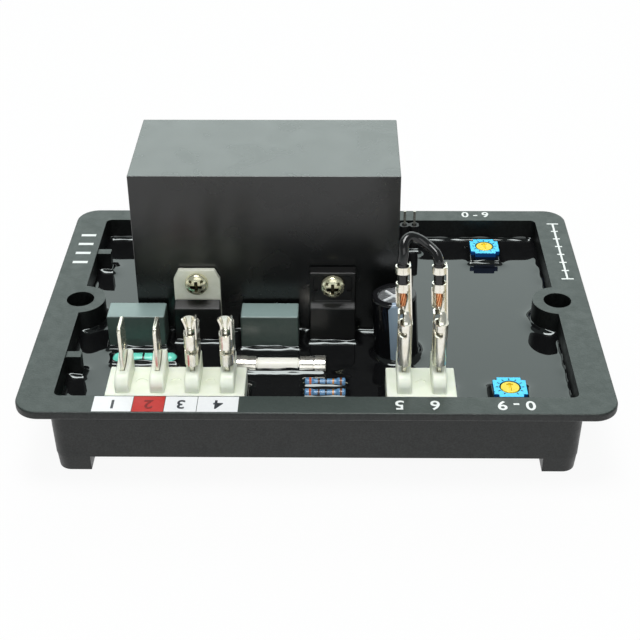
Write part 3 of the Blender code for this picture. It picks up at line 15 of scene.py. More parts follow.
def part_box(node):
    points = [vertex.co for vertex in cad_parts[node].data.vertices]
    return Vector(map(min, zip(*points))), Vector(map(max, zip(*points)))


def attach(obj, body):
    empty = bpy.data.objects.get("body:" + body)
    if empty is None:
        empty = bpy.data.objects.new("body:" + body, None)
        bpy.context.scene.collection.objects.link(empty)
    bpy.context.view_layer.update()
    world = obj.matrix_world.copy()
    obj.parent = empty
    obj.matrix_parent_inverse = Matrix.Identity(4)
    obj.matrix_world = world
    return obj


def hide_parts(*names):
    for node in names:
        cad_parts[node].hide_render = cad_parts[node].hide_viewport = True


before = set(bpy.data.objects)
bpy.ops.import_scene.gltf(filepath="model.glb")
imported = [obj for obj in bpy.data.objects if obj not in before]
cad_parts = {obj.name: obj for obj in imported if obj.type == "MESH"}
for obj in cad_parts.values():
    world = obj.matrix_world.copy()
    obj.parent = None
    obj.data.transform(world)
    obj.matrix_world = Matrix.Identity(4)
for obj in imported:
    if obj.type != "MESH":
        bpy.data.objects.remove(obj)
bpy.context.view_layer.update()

MM = 0.001
BODY = "regulator"
FIT = 0.3 * MM
OVERSHOOT = 1.0 * MM

# Tray
RIM_LOW, RIM_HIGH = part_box("case_tray")
RESIN_LOW, RESIN_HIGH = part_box("potting_resin")
RIM_TOP = RIM_HIGH.z
RESIN_TOP = RESIN_HIGH.z
RIM_THICKNESS = 2.0 * MM
RIM_CORNER = 5.5 * MM
RIM_EDGE = 0.45 * MM
CAVITY_CORNER = 1.5 * MM
WALL = 1.6 * MM
WALL_DRAFT = 0.35 * MM
FLOOR = 2.0 * MM
FOOT_HEIGHT = 3.9 * MM
FOOT_LENGTH = 8.3 * MM
SCREW_OUTSET = 0.5 * MM
SCREW_HOLE_RADIUS = 3.3 * MM
BOSS_RADIUS = 6.0 * MM
RIB_WIDTH = 2.3 * MM
RIB_REACH = 3.4 * MM
RIB_DROP = 0.5 * MM
RIB_PLACES_Y = (-22.8 * MM, 23.8 * MM)

# Resin
RESIN_GRID = 0.84 * MM
MENISCUS_RISE = 1.05 * MM
MENISCUS_REACH = 0.72 * MM
WALL_RISE = 1.0
FUSE_WATERLINE = 3.0 * MM
FUSE_RISE = 0.72
POWER_WATERLINE = 1.7 * MM
POWER_RISE = 0.9
POWER_END_INSET = 0.6 * MM
SMALL_WATERLINE = 1.1 * MM
SMALL_RISE = 0.6
RESIN_LUMPS = ((34.4 * MM, -37.3 * MM, 1.1 * MM, 0.9 * MM), (6.2 * MM, -20.6 * MM, 1.3 * MM, 0.55 * MM))

# Screws and transistors
SCREW_SHANK_RADIUS = 1.45 * MM
SCREW_HEAD_HEIGHT = 2.1 * MM
SCREW_HEAD_EDGE = 0.7 * MM
SCREW_RECESS_LENGTH = 3.2 * MM
SCREW_RECESS_WIDTH = 0.85 * MM
SCREW_RECESS_DEPTH = 1.1 * MM
TAB_CHAMFER_X = 1.2 * MM
TAB_CHAMFER_Z = 2.4 * MM
MOULDED_UPPER_THICKNESS = 3.1 * MM
PACKAGE_BEVEL = 1.0 * MM
PIN_MARK_RADIUS = 0.75 * MM
PIN_MARK_DEPTH = 0.15 * MM

# Small resistors, fuse clips and the can
SMALL_HALF_LENGTH = 4.6 * MM
SMALL_RADIUS = 1.2 * MM
SMALL_WAIST = 0.95 * MM
SMALL_LEAD_RADIUS = 0.3 * MM
CLIP_WALL = 0.4 * MM
CLIP_OPENING = radians(150)
DRUM_RADIUS = 2.75 * MM
DRUM_LENGTH = 2.6 * MM
DRUM_OVERHANG = 0.5 * MM
CAN_LEAN = radians(-3.8)
CAN_HEIGHT = 19.0 * MM
SLEEVE_RADIUS = 5.15 * MM
SLEEVE_WALL = 0.25 * MM
SLEEVE_LIP = 0.9 * MM
CAN_RADIUS = SLEEVE_RADIUS - SLEEVE_WALL - FIT
CAN_EDGE = 0.6 * MM
VENT_LENGTH = 6.4 * MM
VENT_WIDTH = 0.85 * MM
VENT_RISE = 0.2 * MM
STRIPE_PLACE = 0.1 * MM
STRIPE_WIDTH = 3.2 * MM
STRIPE_TOP = 20.4 * MM
STRIPE_SLOPE = 1.3

# Terminals
HOUSING_HEIGHT = 9.6 * MM
TOWER_WIDTH = 3.2 * MM
TOWER_FRONT_RISE = 3.9 * MM
TOWER_FRONT_INSET = 0.9 * MM
TOWER_ROUND = 2.6 * MM
TAB_CORNER = 0.9 * MM
TAB_HOLE_RADIUS = 0.85 * MM
TAB_HOLE_DROP = 6.2 * MM
TAB_SLOT_GAP = 0.12 * MM
SHEET = 0.4 * MM
RECEPTACLE_THICKNESS = 3.0 * MM
RECEPTACLE_WIDTH = 8.0 * MM
RECEPTACLE_MOUTH = 2.4 * MM
LOOSE_NOTCH_RISE = 2.9 * MM
LOOSE_STRIP_WIDTH = 2.6 * MM
WING_WAIST = 0.75 * MM
WING_RADIUS = 1.6 * MM
WING_SETOFF = 3.0 * MM
WING_OPENING = radians(150)
NOTCH_HEIGHT = 1.3 * MM
NOTCH_REACH = 2.2 * MM
CRIMPED_NOTCH_RISE = 7.4 * MM
CRIMPED_BOX_RISE = 1.6 * MM
NECK_WIDTH = 3.0 * MM
NECK_LENGTH = 6.6 * MM
CONDUCTOR_CRIMP = 2.0 * MM
INSULATION_CRIMP = 1.6 * MM
CRIMP_LEAN = 0.05
BARREL_WALL = 0.3 * MM
BARREL_SINK = 0.12 * MM
LEAD_RADIUS = 1.1 * MM
BARREL_RADIUS = LEAD_RADIUS + FIT + BARREL_WALL
COLLAR_WIDTH = 0.92
COLLAR_DEPTH = 0.72
COLLAR_SHIFT = 0.12 * MM
JUMPER_MIDDLE = (
    (-4.6 * MM, 0.6 * MM, 2.2 * MM), (-4.6 * MM, 1.6 * MM, 3.4 * MM), (-4.1 * MM, 2.8 * MM, 4.2 * MM),
    (-3.0 * MM, 3.6 * MM, 4.5 * MM), (-1.3 * MM, 3.8 * MM, 3.8 * MM), (0.6 * MM, 3.0 * MM, 2.7 * MM),
    (2.2 * MM, 1.4 * MM, 1.7 * MM))

# Trimmers and link header
TRIMMER_NOTCH = 1.0 * MM
TRIMMER_CAP_HEIGHT = 1.25 * MM
TICKS = 11
TICK_START = -60
TICK_SWEEP = 300
TICK_REACH = 0.78 * MM
TICK_LENGTH = 0.62 * MM
TICK_WIDTH = 0.26 * MM
ROTOR_SLOT_WIDTH = 0.6 * MM
ROTOR_SLOT_LENGTH = 3.0 * MM
ROTOR_SLOT_DEPTH = 0.6 * MM
LINK_CHAMFER = 0.6 * MM

# Prints
PRINT_THICKNESS = 0.03 * MM
LABEL_EDGES = (-47.9 * MM, -39.3 * MM, -32.4 * MM, -25.4 * MM, -16.5 * MM)
LABEL_BACK_Y = -39.6 * MM
LABEL_FRONT_Y = -45.0 * MM
FRONT_PRINT_Y = -42.2 * MM
BACK_PRINT_Y = 42.9 * MM
LEFT_MARK_Y = 17.0 * MM
LEFT_MARK_PITCH = 4.6 * MM
RULE_X = 61.4 * MM
RULE_Y = 10.0 * MM
RULE_WIDTH = 0.5 * MM
RULE_PITCH = 4.0 * MM
RULE_MARKS = 8

# Backdrop, and how bright the ceiling is beside it
BACKDROP_COLOUR = (0.90, 1.0, 0.975)
CEILING = 0.22
FLOOR_GLOW = 0.93

# Camera, placed by the tray's corners and holes
CAMERA_PLACE = (4.77 * MM, -268.92 * MM, 188.62 * MM)
CAMERA_YAW = radians(0.937)
CAMERA_PITCH = radians(33.0)
CAMERA_ROLL = radians(-0.326)
CAMERA_LENS = 74.06
CAMERA_SENSOR = 36.0


def srgb(red, green, blue):
    """A colour as it is read off a screen, from 0 to 255, as linear values."""
    def linear(value):
        share = value / 255
        return share / 12.92 if share <= 0.04045 else ((share + 0.055) / 1.055) ** 2.4
    return (linear(red), linear(green), linear(blue), 1.0)


# Working shapes

def linked(name, data):
    """A new object that holds the data, in the scene."""
    item = bpy.data.objects.new(name, data)
    bpy.context.scene.collection.objects.link(item)
    return item


def object_from_bmesh(name, shape):
    mesh = bpy.data.meshes.new(name)
    shape.to_mesh(mesh)
    shape.free()
    return linked(name, mesh)


def bake(item):
    """Apply an object's modifiers and its place, and use up what was cut from or joined to it."""
    bpy.context.view_layer.update()
    graph = bpy.context.evaluated_depsgraph_get()
    mesh = bpy.data.meshes.new_from_object(item.evaluated_get(graph))
    mesh.transform(item.matrix_world)
    for modifier in list(item.modifiers):
        if modifier.type == "BOOLEAN":
            bpy.data.objects.remove(modifier.object, do_unlink=True)
    name = item.name
    bpy.data.objects.remove(item, do_unlink=True)
    return linked(name, mesh)


def boolean(item, other, operation):
    modifier = item.modifiers.new(operation.lower(), "BOOLEAN")
    modifier.operation = operation
    modifier.solver = "EXACT"
    modifier.object = other
    return item


def cut(item, *cutters):
    for cutter in cutters:
        boolean(item, cutter, "DIFFERENCE")
    return item


def join(item, *others):
    for other in others:
        boolean(item, other, "UNION")
    return item


def bevel(item, width, segments=3, angle=35):
    modifier = item.modifiers.new("edges", "BEVEL")
    modifier.width = width
    modifier.segments = segments
    modifier.limit_method = "ANGLE"
    modifier.angle_limit = radians(angle)
    return item


def gather(name, items):
    """Several working shapes as one object of loose solids."""
    return painted(name, [(item, 0) for item in items])


def painted(name, items):
    """Several working shapes as one object: (shape, number of its finish)."""
    shape = bmesh.new()
    for item, finish_number in items:
        made = bake(item)
        for face in made.data.polygons:
            face.material_index = finish_number
        shape.from_mesh(made.data)
        bpy.data.objects.remove(made, do_unlink=True)
    return object_from_bmesh(name, shape)


def block(name, low, high):
    shape = bmesh.new()
    bmesh.ops.create_cube(shape, size=1.0)
    bmesh.ops.scale(shape, vec=Vector(high) - Vector(low), verts=shape.verts)
    bmesh.ops.translate(shape, vec=(Vector(low) + Vector(high)) / 2, verts=shape.verts)
    return object_from_bmesh(name, shape)


def box(name, centre_x, centre_y, length, depth, base, top):
    low = (centre_x - length / 2, centre_y - depth / 2, base)
    high = (centre_x + length / 2, centre_y + depth / 2, top)
    return block(name, low, high)


def cylinder(name, radius, start, end, segments=48, end_radius=None):
    axis = Vector(end) - Vector(start)
    shape = bmesh.new()
    bmesh.ops.create_cone(shape, cap_ends=True, segments=segments, radius1=radius,
                          radius2=radius if end_radius is None else end_radius, depth=axis.length)
    bmesh.ops.rotate(shape, matrix=axis.to_track_quat("Z", "Y").to_matrix(), verts=shape.verts)
    bmesh.ops.translate(shape, vec=(Vector(start) + Vector(end)) / 2, verts=shape.verts)
    return object_from_bmesh(name, shape)


def upright(name, radius, x, y, base, top, segments=48):
    return cylinder(name, radius, (x, y, base), (x, y, top), segments)


def arc(centre, radius, start, end, steps):
    return [(centre[0] + radius * cos(start + (end - start) * step / steps),
             centre[1] + radius * sin(start + (end - start) * step / steps))
            for step in range(steps + 1)]


def rounded_outline(length, depth, radius, steps=10):
    outline = []
    for corner, (sign_x, sign_y) in enumerate(((1, 1), (-1, 1), (-1, -1), (1, -1))):
        centre = (sign_x * (length / 2 - radius), sign_y * (depth / 2 - radius))
        start = corner * pi / 2
        outline += arc(centre, radius, start, start + pi / 2, steps)
    return outline


def plate(name, outline, base, top, shift=(0, 0)):
    """A flat outline in XY, extruded from one height to another."""
    shape = bmesh.new()
    floor = shape.faces.new([shape.verts.new((x + shift[0], y + shift[1], base)) for x, y in outline])
    raised = bmesh.ops.extrude_face_region(shape, geom=[floor])["geom"]
    corners = [part for part in raised if isinstance(part, bmesh.types.BMVert)]
    bmesh.ops.translate(shape, vec=(0, 0, top - base), verts=corners)
    bmesh.ops.recalc_face_normals(shape, faces=shape.faces)
    return object_from_bmesh(name, shape)


def turn_to_side(item, x, y=0, z=0):
    """Stand a shape whose outline is (y, z) across the X axis at a place."""
    turn = Matrix(((0, 0, 1), (1, 0, 0), (0, 1, 0))).to_4x4()
    item.data.transform(Matrix.Translation((x, y, z)) @ turn)
    return item


def side_plate(name, outline, x, thickness):
    return turn_to_side(plate(name, outline, -thickness / 2, thickness / 2), x)


def front_plate(name, outline, back_y, thickness):
    """A flat outline given as (x, z), extruded along Y from back_y to the front."""
    item = plate(name, outline, 0, thickness)
    turn = Matrix(((1, 0, 0), (0, 0, -1), (0, 1, 0))).to_4x4()
    item.data.transform(Matrix.Translation((0, back_y, 0)) @ turn)
    return item


def turned(name, profile, segments=64):
    """A profile of (radius, height) points, from the top down, turned about Z."""
    shape = bmesh.new()
    points = [shape.verts.new((radius, 0, height)) for radius, height in profile]
    for first, second in zip(points, points[1:]):
        shape.edges.new((first, second))
    item = object_from_bmesh(name, shape)
    screw = item.modifiers.new("turn", "SCREW")
    screw.steps = segments
    screw.render_steps = segments
    screw.use_merge_vertices = True
    screw.merge_threshold = 0.00001
    made = bake(item)
    return outward(made)


def round_over(radius, top, edge, steps=6):
    """Profile points round the outer edge of a turned shape's top."""
    return [(radius - edge + edge * sin(angle), top - edge + edge * cos(angle))
            for angle in (pi / 2 * step / steps for step in range(steps + 1))]


def outward(item):
    shape = bmesh.new()
    shape.from_mesh(item.data)
    bmesh.ops.remove_doubles(shape, verts=shape.verts, dist=0.000002)
    bmesh.ops.recalc_face_normals(shape, faces=shape.faces)
    shape.to_mesh(item.data)
    shape.free()
    return item


def along_x(item, x, y, z):
    """Lay a shape turned about Z down along X, with its middle at a place."""
    item.data.transform(Matrix.Translation((x, y, z)) @ Matrix.Rotation(pi / 2, 4, "Y"))
    return item


def wire(name, points, radius, sides=12):
    """A round wire through the points, as a closed mesh."""
    curve = bpy.data.curves.new(name, "CURVE")
    curve.dimensions = "3D"
    curve.bevel_depth = radius
    curve.bevel_resolution = sides // 4
    curve.use_fill_caps = True
    spline = curve.splines.new("POLY")
    spline.points.add(len(points) - 1)
    for point, place in zip(spline.points, points):
        point.co = (*place, 1)
    return outward(bake(linked(name, curve)))


def formed_sheet(name, rows, thickness):
    """A bent sheet through rows of (path in XY, height), given its thickness."""
    shape = bmesh.new()
    lines = [[shape.verts.new((x, y, height)) for x, y in path] for path, height in rows]
    for low, high in zip(lines, lines[1:]):
        for step in range(len(low) - 1):
            shape.faces.new((low[step], low[step + 1], high[step + 1], high[step]))
    item = object_from_bmesh(name, shape)
    solidify = item.modifiers.new("sheet", "SOLIDIFY")
    solidify.thickness = thickness
    solidify.offset = 0
    solidify.use_even_offset = True
    return outward(bake(item))


def smooth_route(knots, steps):
    """A smooth curve through the knots."""
    points = [knots[0]]
    for number, (start, end) in enumerate(zip(knots, knots[1:])):
        before = knots[max(number - 1, 0)]
        after = knots[min(number + 2, len(knots) - 1)]
        span = interpolate_bezier(start, start + (end - before) / 6, end - (after - start) / 6, end, steps)
        points += span[1:]
    return points


def dress(item, finish, stands_for=(), body=BODY, smooth=35, weighted=True):
    """Give a finished piece its material, shading and body."""
    for one in finish if isinstance(finish, (list, tuple)) else [finish]:
        item.data.materials.append(one)
    item.data.shade_smooth()
    item.data.set_sharp_from_angle(angle=radians(smooth))
    if weighted:
        modifier = item.modifiers.new("normals", "WEIGHTED_NORMAL")
        modifier.keep_sharp = True
        modifier.weight = 80
    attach(item, body)
    if stands_for:
        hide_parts(*stands_for)
    return item


def can_foot():
    """Where the can's leaning axis starts."""
    low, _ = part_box("capacitor_can_lead_1")
    _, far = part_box("capacitor_can_lead_2")
    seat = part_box("capacitor_sleeve")[0].z
    return Vector(((low.x + far.x) / 2, (low.y + far.y) / 2, seat + SLEEVE_RADIUS * sin(abs(CAN_LEAN))))


# Shared effects, as node groups

def feed(tree, socket, value):
    """Link a socket to an output, or set it to a plain value."""
    if isinstance(value, bpy.types.NodeSocket):
        tree.links.new(value, socket)
    else:
        socket.default_value = value


def add_node(tree, kind, sockets=None, **settings):
    """A shader node with its settings, and an output or a value for each input that is named."""
    node = tree.nodes.new("ShaderNode" + kind)
    for label, value in settings.items():
        setattr(node, label, value)
    for label, value in (sockets or {}).items():
        feed(tree, node.inputs[label], value)
    return node


def calculate(tree, operation, *values):
    sockets = dict(enumerate(values))
    return add_node(tree, "Math", sockets, operation=operation).outputs["Value"]


def mix_colour(tree, share, first, second, blend_type="MIX"):
    sockets = {"Factor": share, "A": first, "B": second}
    return add_node(tree, "Mix", sockets, data_type="RGBA", blend_type=blend_type).outputs["Result"]


def map_range(tree, value, low, high, **ends):
    sockets = {"Value": value, "From Min": low, "From Max": high}
    sockets.update({label.replace("_", " ").title(): end for label, end in ends.items()})
    return add_node(tree, "MapRange", sockets).outputs["Result"]


def object_place(tree):
    return add_node(tree, "TexCoord").outputs["Object"]


def noise(tree, place, scale, detail=2.0, distortion=0.0):
    sockets = {"Vector": place, "Scale": scale, "Detail": detail, "Distortion": distortion}
    return add_node(tree, "TexNoise", sockets).outputs["Fac"]


def new_group(name, inputs, outputs):
    """A node group, what it is given and what it gives: inputs are (label, kind, value)."""
    group = bpy.data.node_groups.new(name, "ShaderNodeTree")
    for label, kind, value in inputs:
        socket = group.interface.new_socket(label, in_out="INPUT", socket_type="NodeSocket" + kind)
        if value is not None:
            socket.default_value = value
    for label, kind in outputs:
        group.interface.new_socket(label, in_out="OUTPUT", socket_type="NodeSocket" + kind)
    return group, group.nodes.new("NodeGroupInput").outputs, group.nodes.new("NodeGroupOutput").inputs


def grain_group():
    """Fine grain of a moulded or cast skin: a height and a mottled colour."""
    group, given, made = new_group(
        "moulded_grain",
        [("Colour", "Color", None), ("Light Colour", "Color", None), ("Scale", "Float", 2500.0),
         ("Amount", "Float", 0.5)],
        [("Colour", "Color"), ("Height", "Float")])
    place = object_place(group)
    fine = noise(group, place, given["Scale"], detail=3.0)
    broad = noise(group, place, 160.0)
    share = calculate(group, "MULTIPLY", map_range(group, fine, 0.35, 0.7), given["Amount"])
    feed(group, made["Colour"], mix_colour(group, share, given["Colour"], given["Light Colour"]))
    feed(group, made["Height"], calculate(group, "MULTIPLY_ADD", broad, 0.25, fine))
    return group


def gloss_group():
    """Uneven gloss: a roughness between two values, in soft patches."""
    group, given, made = new_group(
        "uneven_gloss",
        [("Smooth", "Float", 0.2), ("Rough", "Float", 0.4), ("Scale", "Float", 400.0)],
        [("Roughness", "Float")])
    patches = noise(group, object_place(group), given["Scale"], detail=4.0, distortion=0.6)
    feed(group, made["Roughness"],
         map_range(group, patches, 0.3, 0.7, to_min=given["Smooth"], to_max=given["Rough"]))
    return group


def lines_group():
    """Fine lines along one way, from sawing, rolling or brushing."""
    group, given, made = new_group(
        "drawn_lines", [("Stretch", "Vector", None), ("Scale", "Float", 3000.0)], [("Height", "Float")])
    sockets = {0: object_place(group), 1: given["Stretch"]}
    stretched = add_node(group, "VectorMath", sockets, operation="MULTIPLY").outputs["Vector"]
    feed(group, made["Height"], noise(group, stretched, given["Scale"]))
    return group


def upward_group():
    """Where a surface faces up: 1 on top faces, 0 on upright ones."""
    group, _, made = new_group("upward_faces", [], [("Mask", "Float")])
    facing = add_node(group, "NewGeometry").outputs["True Normal"]
    rise = add_node(group, "SeparateXYZ", {"Vector": facing}).outputs["Z"]
    feed(group, made["Mask"], map_range(group, rise, 0.6, 0.95))
    return group


GROUPS = {"grain": grain_group(), "gloss": gloss_group(), "lines": lines_group(), "upward": upward_group()}


def place_group(tree, kind, **values):
    node = tree.nodes.new("ShaderNodeGroup")
    node.node_tree = GROUPS[kind]
    for label, value in values.items():
        node.inputs[label.replace("_", " ").title()].default_value = value
    return node


def new_finish(name, **sockets):
    """A material whose plain values sit on the shader's own sockets."""
    made = bpy.data.materials.new(name)
    made.use_nodes = True
    shader = made.node_tree.nodes["Principled BSDF"]
    for label, value in sockets.items():
        shader.inputs[label.replace("_", " ")].default_value = value
    return made, made.node_tree, shader


def add_bump(tree, shader, height, strength, distance):
    bump = add_node(tree, "Bump", {"Strength": strength, "Distance": distance, "Height": height})
    tree.links.new(bump.outputs["Normal"], shader.inputs["Normal"])


def add_skin(tree, shader, colour, smooth, rough, gloss_scale=400.0):
    """Give a shader its colour and its uneven gloss."""
    gloss = place_group(tree, "gloss", smooth=smooth, rough=rough, scale=gloss_scale)
    tree.links.new(colour, shader.inputs["Base Color"])
    tree.links.new(gloss.outputs["Roughness"], shader.inputs["Roughness"])


def top_colour(tree, colour, top):
    """Add a painted sheen: a second, lighter colour where the surface faces up, standing in for the light its
    top faces catch.
    """
    upward = place_group(tree, "upward")
    return mix_colour(tree, upward.outputs["Mask"], colour, top, "ADD")


def moulded(name, colour, light, scale, amount, smooth, rough, relief, top=None):
    """A moulded plastic with grain, uneven gloss and a faint relief; a top colour, where given, is a painted
    sheen on faces that look up.
    """
    made, tree, shader = new_finish(name, IOR=1.5)
    grain = place_group(tree, "grain", colour=colour, light_colour=light, scale=scale, amount=amount)
    skin = grain.outputs["Colour"] if top is None else top_colour(tree, grain.outputs["Colour"], top)
    add_skin(tree, shader, skin, smooth, rough)
    add_bump(tree, shader, grain.outputs["Height"], relief, 0.05 * MM)
    return made


def metal(name, colour, light, smooth, rough, stretch, relief=0.15, metallic=1.0):
    """A rolled or plated metal, with drawn lines and a patchy gloss."""
    made, tree, shader = new_finish(name, Metallic=metallic)
    grain = place_group(tree, "grain", colour=(*colour, 1), light_colour=(*light, 1), scale=500.0,
                        amount=0.8)
    lines = place_group(tree, "lines", stretch=stretch, scale=3000.0)
    add_skin(tree, shader, grain.outputs["Colour"], smooth, rough, 900.0)
    add_bump(tree, shader, lines.outputs["Height"], relief, 0.03 * MM)
    return made


def anodised_finish():
    """Black anodised bar: sawn lines, a painted grey sheen on its top faces, and smooth faces that catch the
    floor.
    """
    made, tree, shader = new_finish("anodised_black", IOR=1.6)
    grain = place_group(tree, "grain", colour=srgb(12, 13, 13), light_colour=srgb(20, 22, 22),
                        scale=1800.0, amount=0.6)
    lines = place_group(tree, "lines", stretch=(0.02, 1.0, 1.0), scale=2600.0)
    # The grey added where the bar faces up is a painted sheen.
    add_skin(tree, shader, top_colour(tree, grain.outputs["Colour"], srgb(92, 98, 96)), 0.2, 0.3, 120.0)
    add_bump(tree, shader, lines.outputs["Height"], 0.12, 0.03 * MM)
    return made


def resin_finish():
    """Poured black resin, like a dark mirror, with a faint swell."""
    made, tree, shader = new_finish("poured_resin", IOR=1.56, Roughness=0.035,
                                    Specular_Tint=(0.92, 1.0, 0.985, 1))
    grain = place_group(tree, "grain", colour=(0.0045, 0.0045, 0.005, 1), scale=700.0,
                        light_colour=(0.007, 0.0075, 0.008, 1), amount=0.5)
    tree.links.new(grain.outputs["Colour"], shader.inputs["Base Color"])
    add_bump(tree, shader, noise(tree, object_place(tree), 60.0), 0.06, 0.4 * MM)
    return made


def sleeve_finish():
    """Black shrink sleeve with one pale stripe that ends in a point near the top."""
    made, tree, shader = new_finish("shrink_sleeve", IOR=1.5)
    from_foot = add_node(tree, "VectorMath", {0: object_place(tree), 1: can_foot()}, operation="SUBTRACT")

    def along(*direction):
        sockets = {0: from_foot.outputs["Vector"], 1: direction}
        return add_node(tree, "VectorMath", sockets, operation="DOT_PRODUCT").outputs["Value"]

    across = along(cos(CAN_LEAN), 0, -sin(CAN_LEAN))
    height = along(sin(CAN_LEAN), 0, cos(CAN_LEAN))
    off = calculate(tree, "ABSOLUTE", calculate(tree, "SUBTRACT", across, STRIPE_PLACE))
    point = calculate(tree, "SUBTRACT", STRIPE_TOP, calculate(tree, "MULTIPLY", off, STRIPE_SLOPE))
    mask = calculate(tree, "MULTIPLY", calculate(tree, "LESS_THAN", off, STRIPE_WIDTH / 2),
                     calculate(tree, "LESS_THAN", height, point))
    mask = calculate(tree, "MULTIPLY", mask, calculate(tree, "LESS_THAN", along(0, 1, 0), 0.0))
    grain = place_group(tree, "grain", colour=srgb(14, 14, 17), light_colour=srgb(20, 20, 23), scale=1200.0,
                        amount=0.5)
    add_skin(tree, shader, mix_colour(tree, mask, grain.outputs["Colour"], srgb(158, 176, 196)), 0.1, 0.2)
    add_bump(tree, shader, grain.outputs["Height"], 0.05, 0.05 * MM)
    return made


def nylon_finish():
    made, tree, shader = new_finish("natural_nylon", IOR=1.5, Subsurface_Weight=0.12,
                                    Subsurface_Scale=1.2 * MM, Subsurface_Radius=(1.0, 0.9, 0.6))
    grain = place_group(tree, "grain", colour=srgb(238, 243, 226), light_colour=srgb(247, 249, 238),
                        scale=350.0, amount=0.7)
    add_skin(tree, shader, grain.outputs["Colour"], 0.32, 0.48)
    add_bump(tree, shader, grain.outputs["Height"], 0.12, 0.06 * MM)
    return made


def banded_finish(name, base, bands, low_x, high_x):
    """A glossy coat with painted bands across X: bands are (start, end, colour)."""
    made, tree, shader = new_finish(name, IOR=1.5)
    split = add_node(tree, "SeparateXYZ", {"Vector": object_place(tree)})
    share = map_range(tree, split.outputs["X"], low_x, high_x)
    ramp = add_node(tree, "ValToRGB", {"Fac": share})
    ramp.color_ramp.interpolation = "CONSTANT"
    ramp.color_ramp.elements[0].color = base
    ramp.color_ramp.elements.remove(ramp.color_ramp.elements[1])
    for start, end, colour in bands:
        for place, paint in ((start, colour), (end, base)):
            ramp.color_ramp.elements.new((place - low_x) / (high_x - low_x)).color = paint
    add_skin(tree, shader, ramp.outputs["Color"], 0.16, 0.3)
    return made


ALONG_Z = (1.0, 1.0, 0.04)
ALONG_X = (0.05, 1.0, 1.0)
EVEN = (1.0, 1.0, 1.0)
# The tray's top colour is a painted sheen on the rim and other faces that look up.
TRAY_FINISH = moulded("tray_moulding", srgb(4, 5, 5), srgb(26, 30, 29), 2300.0, 1.0, 0.34, 0.5, 0.8,
                      top=srgb(54, 63, 60))
ANODISED = anodised_finish()
RESIN_FINISH = resin_finish()
PACKAGE = moulded("package_moulding", srgb(12, 12, 12), srgb(22, 22, 22), 3500.0, 0.6, 0.3, 0.44, 0.25)
TAB_PLATE = metal("tab_plate", (0.84, 0.84, 0.72), (0.94, 0.94, 0.84), 0.3, 0.44, (1.0, 1.0, 0.05),
                  relief=0.08, metallic=0.15)
TIN = metal("tinned_brass", (0.80, 0.77, 0.65), (0.92, 0.90, 0.81), 0.14, 0.28, ALONG_Z, relief=0.06,
            metallic=0.85)
NICKEL = metal("nickel_plate", (0.66, 0.63, 0.56), (0.84, 0.82, 0.77), 0.12, 0.28, ALONG_X, metallic=0.85)
ZINC = metal("yellow_zinc", (0.72, 0.68, 0.46), (0.88, 0.86, 0.68), 0.14, 0.32, EVEN, metallic=0.8)
ZINC_SHADE = metal("zinc_recess_shade", (0.06, 0.055, 0.03), (0.14, 0.12, 0.07), 0.3, 0.5, EVEN)
ALUMINIUM = metal("pressed_aluminium", (0.50, 0.52, 0.54), (0.62, 0.64, 0.66), 0.16, 0.3, EVEN, relief=0.05,
                  metallic=0.8)
# The vent ribs wear a paler, duller copy of the can's aluminium: a painted highlight.
VENT_HIGHLIGHT = metal("pressed_vent_highlight", (0.86, 0.88, 0.90), (0.94, 0.95, 0.96), 0.25, 0.4, EVEN, relief=0.05,
                  metallic=0.2)
PIN = metal("header_pin", (0.52, 0.50, 0.44), (0.70, 0.68, 0.62), 0.14, 0.28, ALONG_Z, relief=0.05)
COPPER = metal("bare_copper", (0.70, 0.27, 0.11), (0.92, 0.50, 0.26), 0.2, 0.4, (1.0, 1.0, 0.1))
RECEPTACLE_METAL = metal("receptacle_metal", (0.86, 0.82, 0.70), (0.95, 0.93, 0.87), 0.12, 0.26, ALONG_Z,
                         relief=0.05, metallic=0.85)
# The pale top colour of the film case is a painted sheen where it faces up.
FILM_CASE = moulded("film_case", srgb(74, 86, 82), srgb(84, 97, 93), 900.0, 0.5, 0.3, 0.4, 0.12,
                    top=srgb(120, 138, 137))
SLEEVE = sleeve_finish()
CERAMIC = moulded("fuse_ceramic", srgb(250, 247, 236), srgb(253, 252, 246), 1500.0, 0.6, 0.3, 0.5, 0.15)
NYLON = nylon_finish()
INSULATION = moulded("lead_insulation", srgb(20, 20, 21), srgb(30, 30, 31), 900.0, 0.4, 0.1, 0.2, 0.06)
# The light cyan top colour of the trimmer cap is a painted sheen where it faces up.
TRIMMER_BLUE = moulded("trimmer_cap", srgb(4, 84, 160), srgb(8, 96, 176), 1500.0, 0.5, 0.3, 0.45, 0.1,
                       top=srgb(70, 205, 225))
TRIMMER_INK = moulded("trimmer_ink", srgb(5, 9, 18), srgb(10, 16, 28), 1500.0, 0.5, 0.4, 0.5, 0.1)
TRIMMER_BASE = moulded("trimmer_base", srgb(12, 30, 60), srgb(18, 44, 84), 1500.0, 0.5, 0.3, 0.42, 0.1)
ROTOR_YELLOW = moulded("rotor_yellow", srgb(244, 216, 40), srgb(252, 232, 84), 1500.0, 0.5, 0.3, 0.44, 0.1)
POWER_COAT = banded_finish("turquoise_coat", srgb(122, 236, 214),
                           [(-40.75 * MM, -40.2 * MM, srgb(30, 34, 34))], -48.2 * MM, -32.2 * MM)
SMALL_COAT = banded_finish("blue_coat", srgb(96, 142, 184),
                           [(-1.7 * MM, -1.2 * MM, srgb(196, 92, 40)), (0.2 * MM, 0.7 * MM, srgb(70, 40, 28)),
                            (1.9 * MM, 2.3 * MM, srgb(36, 40, 52)), (3.5 * MM, 3.9 * MM, srgb(206, 138, 60)),
                            (5.2 * MM, 5.7 * MM, srgb(120, 70, 36))], -2.8 * MM, 6.6 * MM)
BOARD = moulded("board_laminate", srgb(30, 84, 52), srgb(44, 104, 66), 900.0, 0.6, 0.3, 0.45, 0.15)
